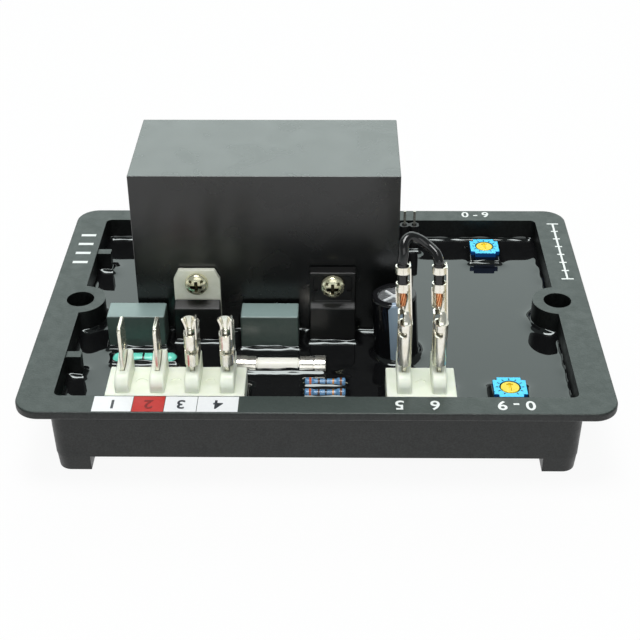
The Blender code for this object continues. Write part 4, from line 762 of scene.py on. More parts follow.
HEADER = moulded("header_moulding", srgb(18, 18, 19), srgb(26, 26, 27), 2500.0, 0.5, 0.35, 0.5, 0.15)
PAINT = moulded("white_print", srgb(236, 240, 238), srgb(246, 248, 247), 2200.0, 0.5, 0.45, 0.6, 0.12)
LABEL_WHITE = moulded("label_white", srgb(240, 241, 244), srgb(248, 249, 250), 1200.0, 0.4, 0.3, 0.42, 0.05)
LABEL_RED = moulded("label_red", srgb(190, 36, 32), srgb(206, 50, 44), 1200.0, 0.4, 0.3, 0.42, 0.05)
LABEL_RED_INK = moulded("label_dark_red", srgb(128, 20, 20), srgb(144, 30, 28), 1200.0, 0.4, 0.4, 0.5, 0.05)
LABEL_INK = moulded("label_ink", srgb(52, 56, 62), srgb(70, 74, 80), 1200.0, 0.4, 0.4, 0.5, 0.05)


# Tray

def cavity_box():
    return (RESIN_LOW.x - FIT, RESIN_LOW.y - FIT, RESIN_HIGH.x + FIT, RESIN_HIGH.y + FIT)


def boss_places():
    low_x, _, high_x, _ = cavity_box()
    return [(low_x - SCREW_OUTSET, 0.0), (high_x + SCREW_OUTSET, 0.0)]


def tub_shell(name, length, depth, base, top, shift_y):
    item = plate(name, rounded_outline(length, depth, CAVITY_CORNER + WALL), base, top)
    middle = (base + top) / 2
    for vertex in item.data.vertices:
        if vertex.co.z < middle:
            vertex.co.x *= 1 - 2 * WALL_DRAFT / length
            vertex.co.y *= 1 - 2 * WALL_DRAFT / depth
        vertex.co.y += shift_y
    return item


def make_tray():
    low_x, low_y, high_x, high_y = cavity_box()
    length = high_x - low_x
    depth = high_y - low_y
    shift_y = (low_y + high_y) / 2
    outer_length = length + 2 * WALL
    outer_depth = depth + 2 * WALL
    rim_length = RIM_HIGH.x - RIM_LOW.x
    rim_depth = RIM_HIGH.y - RIM_LOW.y
    floor_top = FOOT_HEIGHT + FLOOR
    tray = plate("tray_moulding", rounded_outline(rim_length, rim_depth, RIM_CORNER, 14),
                 RIM_TOP - RIM_THICKNESS, RIM_TOP)
    tray = bake(bevel(tray, RIM_EDGE, 3, 60))
    tub = tub_shell("tub", outer_length, outer_depth, FOOT_HEIGHT, RIM_TOP - RIM_THICKNESS / 2, shift_y)
    feet = tub_shell("feet", outer_length - 2 * WALL_DRAFT, outer_depth - 2 * WALL_DRAFT,
                     0, FOOT_HEIGHT + FLOOR / 2, shift_y)
    cut(feet, box("gap_x", 0, 0, outer_length - 2 * FOOT_LENGTH, rim_depth, -OVERSHOOT, FOOT_HEIGHT),
        box("gap_y", 0, shift_y, rim_length, outer_depth - 2 * FOOT_LENGTH, -OVERSHOOT, FOOT_HEIGHT))
    join(tray, tub, bake(feet))
    cut(tray, plate("cavity", rounded_outline(length, depth, CAVITY_CORNER), floor_top,
                    RIM_TOP + OVERSHOOT, (0, shift_y)))
    for number, (x, y) in enumerate(boss_places()):
        join(tray, upright(f"boss_{number}", BOSS_RADIUS, x, y, 0, RIM_TOP, 64))
    for number, place_y in enumerate(RIB_PLACES_Y):
        low = (low_x - WALL / 2, place_y - RIB_WIDTH / 2, floor_top - FLOOR / 2)
        high = (low_x + RIB_REACH, place_y + RIB_WIDTH / 2, RIM_TOP - RIB_DROP)
        join(tray, block(f"rib_{number}", low, high))
    for number, (x, y) in enumerate(boss_places()):
        cut(tray, upright(f"hole_{number}", SCREW_HOLE_RADIUS, x, y, -OVERSHOOT, RIM_TOP + OVERSHOOT, 64))
    return dress(bake(tray), TRAY_FINISH, ["case_tray"])


# Resin

def box_foot(node, last_node=None, half_x=None, half_y=None, rise=1.0):
    """The water line of a piece, or of two in a row: as wide as their box where no half is given."""
    low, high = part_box(node)
    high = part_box(last_node)[1] if last_node else high
    return ("box", (low.x + high.x) / 2, (low.y + high.y) / 2, half_x or (high.x - low.x) / 2,
            half_y or (high.y - low.y) / 2, rise)


def standing_feet():
    low_x, low_y, high_x, high_y = cavity_box()
    feet = [("wall", (low_x + high_x) / 2, (low_y + high_y) / 2, (high_x - low_x) / 2,
             (high_y - low_y) / 2, WALL_RISE)]
    feet += [("round", x, y, BOSS_RADIUS, 0, 1.0) for x, y in boss_places()]
    feet += [("box", low_x + RIB_REACH / 2, y, RIB_REACH / 2, RIB_WIDTH / 2, 1.0) for y in RIB_PLACES_Y]
    feet += [box_foot(node) for node in (
        "heat_sink", "left_transistor_body", "right_transistor_body", "left_film_capacitor",
        "right_film_capacitor", "four_way_housing", "two_way_housing", "back_trimmer",
        "front_trimmer", "link_header")]
    low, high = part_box("power_resistor")
    feet.append(box_foot("power_resistor", half_x=(high.x - low.x) / 2 - POWER_END_INSET,
                         half_y=POWER_WATERLINE, rise=POWER_RISE))
    feet.append(box_foot("fuse_clip_left", "fuse_clip_right", half_y=FUSE_WATERLINE, rise=FUSE_RISE))
    x, y = can_axis_at(RESIN_TOP)
    feet.append(("round", x, y, SLEEVE_RADIUS, 0, 1.0))
    feet += [box_foot(node, half_x=SMALL_HALF_LENGTH, half_y=SMALL_WATERLINE, rise=SMALL_RISE)
             for node in ("small_resistor_1", "small_resistor_2")]
    return feet


def distance_to_foot(x, y, foot):
    kind, centre_x, centre_y, half_x, half_y, _ = foot
    if kind == "round":
        return np.maximum(np.hypot(x - centre_x, y - centre_y) - half_x, 0)
    if kind == "wall":
        over_x = np.abs(x - centre_x) - half_x + CAVITY_CORNER
        over_y = np.abs(y - centre_y) - half_y + CAVITY_CORNER
        past = np.hypot(np.maximum(over_x, 0), np.maximum(over_y, 0)) - CAVITY_CORNER
        return np.maximum(-(past + np.minimum(np.maximum(over_x, over_y), 0)), 0)
    return np.hypot(np.maximum(np.abs(x - centre_x) - half_x, 0),
                    np.maximum(np.abs(y - centre_y) - half_y, 0))


def distance_to_line(x, y, foot):
    """How far a place is from the outline of a foot, inside it or out."""
    kind, centre_x, centre_y, half_x, half_y, _ = foot
    if kind == "round":
        return np.abs(np.hypot(x - centre_x, y - centre_y) - half_x)
    outside = distance_to_foot(x, y, foot)
    if kind == "wall":
        return outside
    inside = np.minimum(half_x - np.abs(x - centre_x), half_y - np.abs(y - centre_y))
    return np.where(outside > 0, outside, inside)


def resin_heights(x, y):
    """The resin's surface: level, and drawn up round all that stands in it."""
    wander = (1 + 0.16 * np.sin(x / (1.9 * MM) + 1.3) * np.sin(y / (2.3 * MM) + 0.4)
              + 0.10 * np.sin(x / (0.83 * MM)) * np.sin(y / (0.91 * MM) + 2.0))
    level = np.ones_like(x)
    for foot in standing_feet():
        drawn = foot[5] * np.exp(-distance_to_foot(x, y, foot) / MENISCUS_REACH)
        level *= 1 - np.minimum(drawn, 0.999)
    lumps = sum(rise * np.exp(-(((x - lump_x) / (1.6 * radius)) ** 2 + ((y - lump_y) / radius) ** 2))
                for lump_x, lump_y, radius, rise in RESIN_LUMPS)
    return RESIN_TOP + MENISCUS_RISE * wander * (1 - level) + lumps


def refine_near_feet(shape, reach):
    """Split the faces that lie close to the outline of a foot."""
    centres = np.array([face.calc_center_median() for face in shape.faces])
    near = np.zeros(len(centres), bool)
    for foot in standing_feet():
        near |= distance_to_line(centres[:, 0], centres[:, 1], foot) < reach
    chosen = {edge for face, wanted in zip(shape.faces, near) if wanted for edge in face.edges}
    bmesh.ops.subdivide_edges(shape, edges=list(chosen), cuts=1, use_grid_fill=True)


def make_resin():
    low_x, low_y, high_x, high_y = cavity_box()
    across = round((high_x - low_x) / RESIN_GRID)
    along = round((high_y - low_y) / RESIN_GRID)
    shape = bmesh.new()
    bmesh.ops.create_grid(shape, x_segments=across, y_segments=along, size=0.5)
    bmesh.ops.scale(shape, vec=(high_x - low_x, high_y - low_y, 1), verts=shape.verts)
    bmesh.ops.translate(shape, vec=((low_x + high_x) / 2, (low_y + high_y) / 2, 0), verts=shape.verts)
    refine_near_feet(shape, 2.0 * MM)
    refine_near_feet(shape, 1.3 * MM)
    rim = [edge for edge in shape.edges if edge.is_boundary]
    skirt = bmesh.ops.extrude_edge_only(shape, edges=rim)["geom"]
    foot = [part for part in skirt if isinstance(part, bmesh.types.BMVert)]
    lowered = set(foot)
    top = [vertex for vertex in shape.verts if vertex not in lowered]
    places = np.array([vertex.co for vertex in top])
    for vertex, height in zip(top, resin_heights(places[:, 0], places[:, 1])):
        vertex.co.z = height
    for vertex in foot:
        vertex.co.z = RESIN_LOW.z
    bmesh.ops.contextual_create(shape, geom=[edge for edge in shape.edges if edge.is_boundary])
    bmesh.ops.recalc_face_normals(shape, faces=shape.faces)
    item = object_from_bmesh("poured_resin", shape)
    return dress(item, RESIN_FINISH, ["potting_resin"], smooth=75, weighted=False)


# Heat sink, transistors and screws

def screw_place(node):
    """The axis of a screw, x and z, and the y of the face it seats on."""
    low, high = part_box(node)
    return (low.x + high.x) / 2, (low.z + high.z) / 2, low.y + SCREW_HEAD_HEIGHT + FIT


def screw_hole(name, node, start_y, end_y):
    x, z, _ = screw_place(node)
    return cylinder(name, SCREW_SHANK_RADIUS + FIT, (x, start_y, z), (x, end_y, z), 32)


def make_heat_sink():
    low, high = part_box("heat_sink")
    sink = bake(bevel(block("sawn_heat_sink", low, high), 0.25 * MM, 3))
    for node in ("left_transistor_screw", "right_transistor_screw"):
        cut(sink, screw_hole(node + "_bore", node, low.y - OVERSHOOT, low.y + 10.0 * MM))
    return dress(bake(sink), ANODISED, ["heat_sink"])


def make_screw(node, name):
    x, z, seat_y = screw_place(node)
    low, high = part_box(node)
    head = SCREW_HEAD_HEIGHT
    rim = (high.x - low.x) / 2
    shank_end = -(high.y - seat_y + FIT)
    dome = [(rim * cos(angle), SCREW_HEAD_EDGE + (head - SCREW_HEAD_EDGE) * sin(angle))
            for angle in (radians(step) for step in range(84, 0, -7))]
    profile = [(0, head), *dome, (rim, SCREW_HEAD_EDGE), (rim, 0.08 * MM), (rim - 0.1 * MM, 0),
               (SCREW_SHANK_RADIUS, 0)]
    threads = 14
    for step in range(threads):
        depth = (shank_end + 0.4 * MM) * (step + 0.5) / threads
        profile += [(SCREW_SHANK_RADIUS, depth), (SCREW_SHANK_RADIUS - 0.14 * MM, depth - 0.25 * MM)]
    profile += [(SCREW_SHANK_RADIUS - 0.3 * MM, shank_end), (0, shank_end)]
    screw = turned(name, profile, 48)
    bottom = head - SCREW_RECESS_DEPTH
    arms = [tapered_arm(f"{name}_arm_{turn}", bottom, head + OVERSHOOT / 4, turn * pi / 2)
            for turn in range(2)]
    screw = bake(cut(screw, bake(join(arms[0], arms[1]))))
    # Faces deep in the cross recess take the dark zinc: painted shade.
    for face in screw.data.polygons:
        place = face.center
        reach = max(abs(place.x), abs(place.y))
        if place.z > bottom - FIT and reach < SCREW_RECESS_LENGTH / 2 and face.normal.z < 0.995:
            dome_z = SCREW_HEAD_EDGE + (head - SCREW_HEAD_EDGE) * sqrt(1 - min(reach / rim, 1) ** 2)
            face.material_index = 1 if place.z < dome_z - 0.12 * MM else 0
        elif abs(place.z - bottom) < 0.01 * MM:
            face.material_index = 1
    screw.data.transform(Matrix.Translation((x, seat_y - FIT, z)) @ Matrix.Rotation(pi / 2, 4, "X"))
    return dress(screw, [ZINC, ZINC_SHADE], [node], smooth=40)


def tapered_arm(name, bottom, top, turn):
    """One bar of a cross recess, narrower at its bottom."""
    item = block(name, (-SCREW_RECESS_LENGTH / 2, -SCREW_RECESS_WIDTH / 2, bottom),
                 (SCREW_RECESS_LENGTH / 2, SCREW_RECESS_WIDTH / 2, top))
    for vertex in item.data.vertices:
        if vertex.co.z < (bottom + top) / 2:
            vertex.co.x *= 0.62
            vertex.co.y *= 0.7
    item.data.transform(Matrix.Rotation(turn, 4, "Z"))
    return item


def make_tab_transistor():
    low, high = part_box("left_transistor_tab")
    x = (low.x + high.x) / 2
    thickness = high.y - low.y
    outline = [(low.x, low.z), (high.x, low.z), (high.x, high.z - TAB_CHAMFER_Z),
               (high.x - TAB_CHAMFER_X, high.z), (low.x + TAB_CHAMFER_X, high.z),
               (low.x, high.z - TAB_CHAMFER_Z)]
    tab = bake(bevel(front_plate("mounting_tab", outline, high.y, thickness), 0.13 * MM, 2))
    cut(tab, screw_hole("mounting_hole", "left_transistor_screw", low.y - OVERSHOOT, high.y + OVERSHOOT))
    dress(bake(tab), TAB_PLATE, ["left_transistor_tab"])
    body_low, body_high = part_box("left_transistor_body")
    tab_front = low.y - FIT
    profile = [(tab_front, low.z - FIT), (high.y, low.z - FIT), (high.y, body_low.z),
               (body_low.y, body_low.z), (body_low.y, body_high.z - PACKAGE_BEVEL),
               (tab_front, body_high.z)]
    body = side_plate("left_package", profile, x, body_high.x - body_low.x)
    body = bake(bevel(body, FIT, 3, 25))
    for side in (-1, 1):
        cut(body, cylinder(f"pin_mark_{side}", PIN_MARK_RADIUS,
                           (x + side * 3.6 * MM, body_low.y - OVERSHOOT, body_high.z - 3.2 * MM),
                           (x + side * 3.6 * MM, body_low.y + PIN_MARK_DEPTH, body_high.z - 3.2 * MM), 32))
    dress(bake(body), PACKAGE, ["left_transistor_body"])
    make_screw("left_transistor_screw", "left_cross_screw")


def make_moulded_transistor():
    low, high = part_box("right_transistor_body")
    x = (low.x + high.x) / 2
    width = high.x - low.x
    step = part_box("left_transistor_body")[1].z + FIT / 3
    upper = high.y - MOULDED_UPPER_THICKNESS
    profile = [(high.y, low.z), (low.y, low.z), (low.y, step - PACKAGE_BEVEL), (upper, step),
               (upper, high.z), (high.y, high.z)]
    body = bake(bevel(side_plate("right_package", profile, x, width), FIT, 3, 25))
    frame_low = (low.x + 0.75 * MM, upper - OVERSHOOT, step + 0.3 * MM)
    frame_high = (high.x - 0.75 * MM, upper + 0.12 * MM, high.z - 0.75 * MM)
    cut(body, bake(bevel(block("face_recess", frame_low, frame_high), 0.35 * MM, 3)))
    _, z, _ = screw_place("right_transistor_screw")
    for side in (-1, 1):
        mark_x = x + side * 3.9 * MM
        cut(body, cylinder(f"face_mark_{side}", 0.62 * MM, (mark_x, upper - OVERSHOOT, z - 1.3 * MM),
                           (mark_x, upper + 0.5 * MM, z - 1.3 * MM), 32))
    cut(body, screw_hole("moulded_hole", "right_transistor_screw", low.y - OVERSHOOT, high.y + OVERSHOOT))
    dress(bake(body), PACKAGE, ["right_transistor_body"])
    make_screw("right_transistor_screw", "right_cross_screw")


# Board components

def make_film_capacitors():
    for side in ("left", "right"):
        low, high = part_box(f"{side}_film_capacitor")
        case = bake(bevel(block(f"{side}_film_case", low, high), 0.4 * MM, 4))
        dress(case, FILM_CASE, [f"{side}_film_capacitor"])


def mirrored(profile):
    return profile + [(radius, -height) for radius, height in reversed(profile)]


def middle_of(node):
    low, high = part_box(node)
    return (low + high) / 2


def make_power_resistor():
    low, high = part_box("power_resistor")
    radius = (high.y - low.y) / 2
    half = (high.x - low.x) / 2
    ends = [(radius * 0.42 * sin(angle), half - 0.5 * MM + 0.5 * MM * cos(angle))
            for angle in (radians(step) for step in (30, 60, 90))]
    shoulder = [(radius * (0.42 + 0.58 * sin(angle)), half - 0.5 * MM - 1.5 * MM * (1 - cos(angle)))
                for angle in (radians(step) for step in (15, 30, 45, 60, 75, 90))]
    waist = [(radius * 0.975, half - 3.4 * MM), (radius * 0.97, half - 5.0 * MM)]
    body = turned("coated_resistor", mirrored([(0, half), *ends, *shoulder, *waist]), 64)
    along_x(body, *middle_of("power_resistor"))
    dress(body, POWER_COAT, ["power_resistor"], smooth=50)


def diving_lead(name, x, y, z, side, bend_x, end):
    """A lead that leaves a small resistor, dips under the resin and turns down."""
    start = SMALL_HALF_LENGTH
    route = ((x + side * (start - 0.4 * MM), z), (x + side * (start + 0.1 * MM), z - 0.08 * MM),
             (x + side * (start + 0.8 * MM), z - 0.75 * MM), (bend_x, z - 1.9 * MM), (bend_x, z - 3.4 * MM),
             (bend_x, end))
    knots = [Vector((across, y, height)) for across, height in route]
    return wire(name, smooth_route(knots, 8), SMALL_LEAD_RADIUS, 16)


def make_small_resistors():
    for number in (1, 2):
        node = f"small_resistor_{number}"
        low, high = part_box(node)
        x = (low.x + high.x) / 2
        y = (low.y + high.y) / 2
        z = high.z - SMALL_RADIUS
        end = SMALL_HALF_LENGTH - 2.1 * MM
        slope = SMALL_RADIUS - SMALL_WAIST
        right = [(0, SMALL_HALF_LENGTH), *round_over(SMALL_RADIUS, SMALL_HALF_LENGTH, 0.45 * MM),
                 (SMALL_RADIUS, end + slope * 1.6), (SMALL_RADIUS - slope * 0.3, end + slope * 1.0),
                 (SMALL_WAIST + slope * 0.15, end + slope * 0.3), (SMALL_WAIST, end - slope * 0.4)]
        body = along_x(turned(f"banded_resistor_{number}", mirrored(right), 48), x, y, z)
        dress(body, SMALL_COAT, [node], smooth=50)
        for side in (-1, 1):
            bend_x = (low.x + SMALL_LEAD_RADIUS) if side < 0 else (high.x - SMALL_LEAD_RADIUS)
            lead = diving_lead(f"banded_resistor_{number}_lead_{'left' if side < 0 else 'right'}", x, y, z,
                               side, bend_x, low.z)
            dress(lead, TIN)


def make_fuse():
    tube_low, tube_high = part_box("fuse_tube")
    radius = (tube_high.y - tube_low.y) / 2
    centre = (tube_low + tube_high) / 2
    half = (tube_high.x - tube_low.x) / 2
    cap_low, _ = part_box("fuse_cap_right")
    collar = cap_low.x - centre.x - FIT
    profile = [(0, half), (radius - FIT, half), (radius - FIT, collar), (radius - 0.08 * MM, collar),
               (radius, collar - 0.1 * MM)]
    tube = along_x(turned("ceramic_tube", mirrored(profile), 64), *centre)
    dress(tube, CERAMIC, ["fuse_tube"])
    for side, turn in (("left", -1), ("right", 1)):
        make_fuse_cap(side, turn)
        make_fuse_clip(side, turn)


def make_fuse_cap(side, turn):
    low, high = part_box(f"fuse_cap_{side}")
    half = (high.x - low.x) / 2
    radius = (high.y - low.y) / 2
    inner = radius - 0.3 * MM - FIT
    profile = [(0, half), *round_over(radius, half, 0.35 * MM),
               (radius, half - 1.4 * MM), (radius - 0.28 * MM, half - 1.45 * MM),
               (radius - 0.28 * MM, half - 1.85 * MM), (radius, half - 1.9 * MM),
               (radius, -half + 0.08 * MM), (radius - 0.08 * MM, -half), (inner, -half),
               (inner, half - FIT), (0, half - FIT)]
    cap = turned(f"{side}_fuse_cap", profile, 64)
    if turn < 0:
        cap.data.transform(Matrix.Rotation(pi, 4, "Y"))
    along_x(cap, *((low + high) / 2))
    dress(cap, NICKEL, [f"fuse_cap_{side}"])


def make_fuse_clip(side, turn):
    """A spring clip: low ears bent round the cap, an end stop like a short drum, and one flat leg."""
    low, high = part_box(f"fuse_clip_{side}")
    tube = middle_of("fuse_tube")
    middle = (high.y - low.y) / 2 - CLIP_WALL / 2
    x = (low.x + high.x) / 2
    start = pi / 2 + CLIP_OPENING / 2
    path = arc((0, 0), middle, start, start + 2 * pi - CLIP_OPENING, 40)
    trough = formed_sheet(f"{side}_fuse_clip", [(path, low.x), (path, high.x)], CLIP_WALL)
    turn_to_side(trough, 0, tube.y, tube.z)
    leg = box(f"{side}_leg", x, tube.y, 2.4 * MM, 2 * CLIP_WALL, low.z, tube.z - middle + CLIP_WALL / 4)
    inner = DRUM_RADIUS - 0.28 * MM
    half = DRUM_LENGTH / 2
    profile = [(0, half), *round_over(DRUM_RADIUS, half, 0.3 * MM), (DRUM_RADIUS, -half), (inner, -half),
               (inner, half - 0.3 * MM), (0, half - 0.3 * MM)]
    drum = turned(f"{side}_drum", profile, 64)
    if turn < 0:
        drum.data.transform(Matrix.Rotation(pi, 4, "Y"))
    end_x = (high.x + DRUM_OVERHANG) if turn > 0 else (low.x + 0.9 * MM)
    along_x(drum, end_x - turn * half, tube.y, tube.z)
    clip = gather(f"{side}_fuse_clip_and_stop", [join(trough, leg), drum])
    dress(clip, NICKEL, [f"fuse_clip_{side}"])


# Electrolytic capacitor

def can_axis_at(height):
    foot = can_foot()
    return foot.x + (height - foot.z) * tan(CAN_LEAN), foot.y


def lean_can(item):
    item.data.transform(Matrix.Translation(can_foot()) @ Matrix.Rotation(CAN_LEAN, 4, "Y"))
    return item


def make_electrolytic():
    can = turned("aluminium_can", [(0, CAN_HEIGHT), *round_over(CAN_RADIUS, CAN_HEIGHT, CAN_EDGE),
                                   (CAN_RADIUS, FIT), (0, FIT)], 96)
    ribs = [vent_rib(f"vent_{number}", radians(38 + 90 * number)) for number in range(2)]
    # The ribs take the paler finish, a painted highlight.
    can = painted("aluminium_can", [(can, 0), (bake(join(ribs[0], ribs[1])), 1)])
    dress(lean_can(can), [ALUMINIUM, VENT_HIGHLIGHT], ["capacitor_can"])
    lip_top = CAN_HEIGHT + FIT + SLEEVE_WALL
    lip_inner = CAN_RADIUS - SLEEVE_LIP
    inner = SLEEVE_RADIUS - SLEEVE_WALL
    profile = [(lip_inner, lip_top - SLEEVE_WALL * 0.8), (lip_inner + 0.06 * MM, lip_top),
               *round_over(SLEEVE_RADIUS, lip_top, CAN_EDGE), (SLEEVE_RADIUS, 0), (inner, 0),
               (inner, lip_top - CAN_EDGE - FIT), (inner - FIT, lip_top - SLEEVE_WALL),
               (lip_inner, lip_top - SLEEVE_WALL), (lip_inner, lip_top - SLEEVE_WALL * 0.8)]
    sleeve = turned("shrunk_sleeve", profile, 96)
    dress(lean_can(sleeve), SLEEVE, ["capacitor_sleeve"])


def vent_rib(name, turn):
    """One bar of the pressed cross on the can's top."""
    half = VENT_LENGTH / 2
    wide = VENT_WIDTH / 2
    rib = block(name, (-half, -wide, CAN_HEIGHT - FIT), (half, wide, CAN_HEIGHT + VENT_RISE))
    for vertex in rib.data.vertices:
        if vertex.co.z > CAN_HEIGHT:
            vertex.co.y *= 0.55
            vertex.co.x *= 0.93
    rib.data.transform(Matrix.Rotation(turn, 4, "Z"))
    return rib


# Terminals

def tab_middle(number):
    return middle_of(f"blade_tab_{number}")


def make_housing(node, name, numbers):
    low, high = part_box(node)
    block_top = low.z + HOUSING_HEIGHT
    front_top = block_top + TOWER_FRONT_RISE
    housing = bake(bevel(block(name, low, (high.x, high.y, block_top)), 0.3 * MM, 3))
    tab_y = tab_middle(numbers[0]).y
    front = low.y + TOWER_FRONT_INSET
    back = high.y - 0.25 * MM
    centre = (front + TOWER_ROUND, front_top - TOWER_ROUND)
    profile = [(front, block_top - OVERSHOOT), *arc(centre, TOWER_ROUND, pi, pi / 2, 14), (tab_y, front_top),
               (back - TOWER_FRONT_INSET, high.z), (back, high.z), (back, block_top - OVERSHOOT)]
    for number in numbers:
        x = tab_middle(number).x
        tower = side_plate(f"{name}_tower_{number}", profile, x, TOWER_WIDTH)
        join(housing, bake(bevel(tower, 0.55 * MM, 4, 50)))
    for number in numbers[:-1]:
        x = (tab_middle(number).x + tab_middle(number + 1).x) / 2
        cut(housing, upright(f"{name}_dish_{number}", 1.25 * MM, x, low.y + 5.2 * MM,
                             block_top - 0.18 * MM, block_top + OVERSHOOT, 40))
    for number in numbers:
        tab = tab_middle(number)
        tab_low, tab_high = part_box(f"blade_tab_{number}")
        room = 2 * TAB_SLOT_GAP
        cut(housing, box(f"{name}_slot_{number}", tab.x, tab.y, tab_high.x - tab_low.x + room,
                         tab_high.y - tab_low.y + room, low.z - OVERSHOOT, high.z + OVERSHOOT))
    return dress(bake(housing), NYLON, [node], smooth=40)


def make_tab(number):
    low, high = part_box(f"blade_tab_{number}")
    y = (low.y + high.y) / 2
    x = (low.x + high.x) / 2
    leg = 0.7 * MM
    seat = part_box("four_way_housing")[0].z
    corner = TAB_CORNER
    outline = [(y - leg, low.z), (y + leg, low.z), (y + leg, seat), (high.y, seat),
               (high.y, high.z - corner),
               (high.y - corner * 0.55, high.z - corner * 0.3), (high.y - corner, high.z),
               (low.y + corner, high.z), (low.y + corner * 0.55, high.z - corner * 0.3),
               (low.y, high.z - corner), (low.y, seat), (y - leg, seat)]
    tab = bake(bevel(side_plate(f"spade_{number}", outline, x, high.x - low.x), 0.2 * MM, 3, 60))
    hole_z = high.z - TAB_HOLE_DROP
    cut(tab, cylinder(f"spade_{number}_hole", TAB_HOLE_RADIUS, (x - OVERSHOOT, y, hole_z),
                      (x + OVERSHOOT, y, hole_z), 40))
    return dress(bake(tab), TIN, [f"blade_tab_{number}"])


def rolled_box(name, x, y, base, top):
    """The sheet of a receptacle, rolled round both edges of the tab."""
    radius = (RECEPTACLE_THICKNESS - SHEET) / 2
    reach = (RECEPTACLE_WIDTH - SHEET) / 2 - radius
    mouth = RECEPTACLE_MOUTH / 2
    back = arc((x, y + reach), radius, 0, pi, 16)
    front = arc((x, y - reach), radius, pi, 2 * pi, 16)
    path = [(x - radius, y - mouth), *front, *back, (x - radius, y + mouth)]
    return formed_sheet(name, [(path, base), (path, top)], SHEET)


def notch_rolls(shell, x, y, height, reach_x):
    """Part the rolled edges from those of the next length, as far across as reach_x."""
    for side in (-1, 1):
        edge = y + side * RECEPTACLE_WIDTH / 2
        low_y, high_y = sorted((edge + side * OVERSHOOT, edge - side * NOTCH_REACH))
        notch = block(f"{shell.name}_notch_{side}", (x - RECEPTACLE_THICKNESS, low_y, height),
                      (x + reach_x, high_y, height + NOTCH_HEIGHT))
        cut(shell, bake(bevel(notch, 0.3 * MM, 4)))
    return bake(shell)


def receptacle_strip(name, x, y, width, base, top):
    middle = x + (RECEPTACLE_THICKNESS - SHEET) / 2
    return bake(bevel(box(name, middle, y, 0.34 * MM, width, base, top), 0.08 * MM, 2))


def flared_wings(name, x, y, base, top):
    """The open, flared barrel at the top of an uncrimped receptacle."""
    start = -pi / 2 + WING_OPENING / 2
    end = start + 2 * pi - WING_OPENING
    rows = []
    for step in range(9):
        share = step / 8
        flare = share ** 1.4
        radius = WING_WAIST + (WING_RADIUS - WING_WAIST) * flare - SHEET / 2 * share
        rows.append(([(x + px, y + py) for px, py in arc((0, 0), radius, start, end, 28)],
                     base + (top - base) * share))
    return formed_sheet(name, rows, SHEET)


def make_loose_receptacle(number):
    node = f"loose_receptacle_{number}"
    low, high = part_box(node)
    tab = tab_middle(number)
    tab_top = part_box(f"blade_tab_{number}")[1].z
    box_top = tab_top - 1.2 * MM
    shell = rolled_box(f"rolled_receptacle_{number}", tab.x, tab.y, low.z, box_top)
    shell = notch_rolls(shell, tab.x, tab.y, low.z + LOOSE_NOTCH_RISE, RECEPTACLE_THICKNESS)
    wing_y = tab.y - WING_SETOFF
    join(shell, receptacle_strip(f"loose_strip_{number}", tab.x, wing_y + LOOSE_STRIP_WIDTH / 3,
                                 LOOSE_STRIP_WIDTH, box_top - OVERSHOOT, high.z - OVERSHOOT / 4))
    join(shell, flared_wings(f"wings_{number}", tab.x, wing_y, tab_top + FIT, high.z))
    dress(bake(shell), RECEPTACLE_METAL, [node], smooth=40)


def crimped_box_top(number):
    """Where the rolled box of a crimped receptacle ends and its neck starts."""
    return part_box(f"blade_tab_{number}")[1].z + CRIMPED_BOX_RISE


def crimp_shift(height, box_top):
    """How far the lean of a crimped end carries a height sideways."""
    return -CRIMP_LEAN * max(height - box_top + OVERSHOOT, 0)


def crimp_axis(number):
    return tab_middle(number).x + RECEPTACLE_THICKNESS / 2 - BARREL_SINK - BARREL_RADIUS


def rolled_collar(name, x, y, base, top):
    """A crimped barrel: the two edges of the sheet meet and dive in at the front."""
    rows = []
    steps = 56
    for height, grow in ((base, 0.06 * MM), (base + 0.2 * MM, 0), (top - 0.2 * MM, 0), (top, 0.06 * MM)):
        path = []
        for step in range(steps + 1):
            angle = -pi / 2 + 0.03 + (2 * pi - 0.06) * step / steps
            from_seam = min(step, steps - step) / steps
            dive = 0.14 * MM * exp(-from_seam * 26)
            radius = BARREL_RADIUS - BARREL_WALL / 2 - dive + grow / 2
            path.append((x + COLLAR_SHIFT + radius * COLLAR_WIDTH * cos(angle),
                         y + radius * COLLAR_DEPTH * sin(angle)))
        rows.append((path, height))
    return formed_sheet(name, rows, BARREL_WALL - 0.06 * MM)


def neck_rows(tab, axis, box_top):
    """The sheet above the rolled box: its front roll opens out and turns into the wire's trough."""
    radius = (RECEPTACLE_THICKNESS - SHEET) / 2
    front_y = tab.y - (RECEPTACLE_WIDTH - SHEET) / 2 + radius
    roll = arc((tab.x, front_y), radius, radians(262), radians(360), 15)
    side = [(tab.x + radius, front_y + (tab.y + 1.3 * MM - front_y) * step / 10) for step in range(1, 11)]
    box_path = roll + side
    trough = BARREL_RADIUS - BARREL_WALL / 2
    rows = []
    for height, share in ((-0.5, 0.0), (0.0, 0.0), (0.4, 0.08), (0.8, 0.25), (1.2, 0.48), (1.6, 0.72),
                          (2.0, 0.9), (2.4, 1.0), (3.2, 1.0), (4.0, 1.0), (4.8, 1.0), (5.6, 1.0), (6.9, 1.0)):
        start = radians(-105 + 50 * min(max(height / 5.6, 0), 1))
        wire_path = arc((axis, tab.y), trough, start, radians(158), len(box_path) - 1)
        path = [(box_x * (1 - share) + wire_x * share, box_y * (1 - share) + wire_y * share)
                for (box_x, box_y), (wire_x, wire_y) in zip(box_path, wire_path)]
        rows.append((path, box_top + height * MM))
    return rows


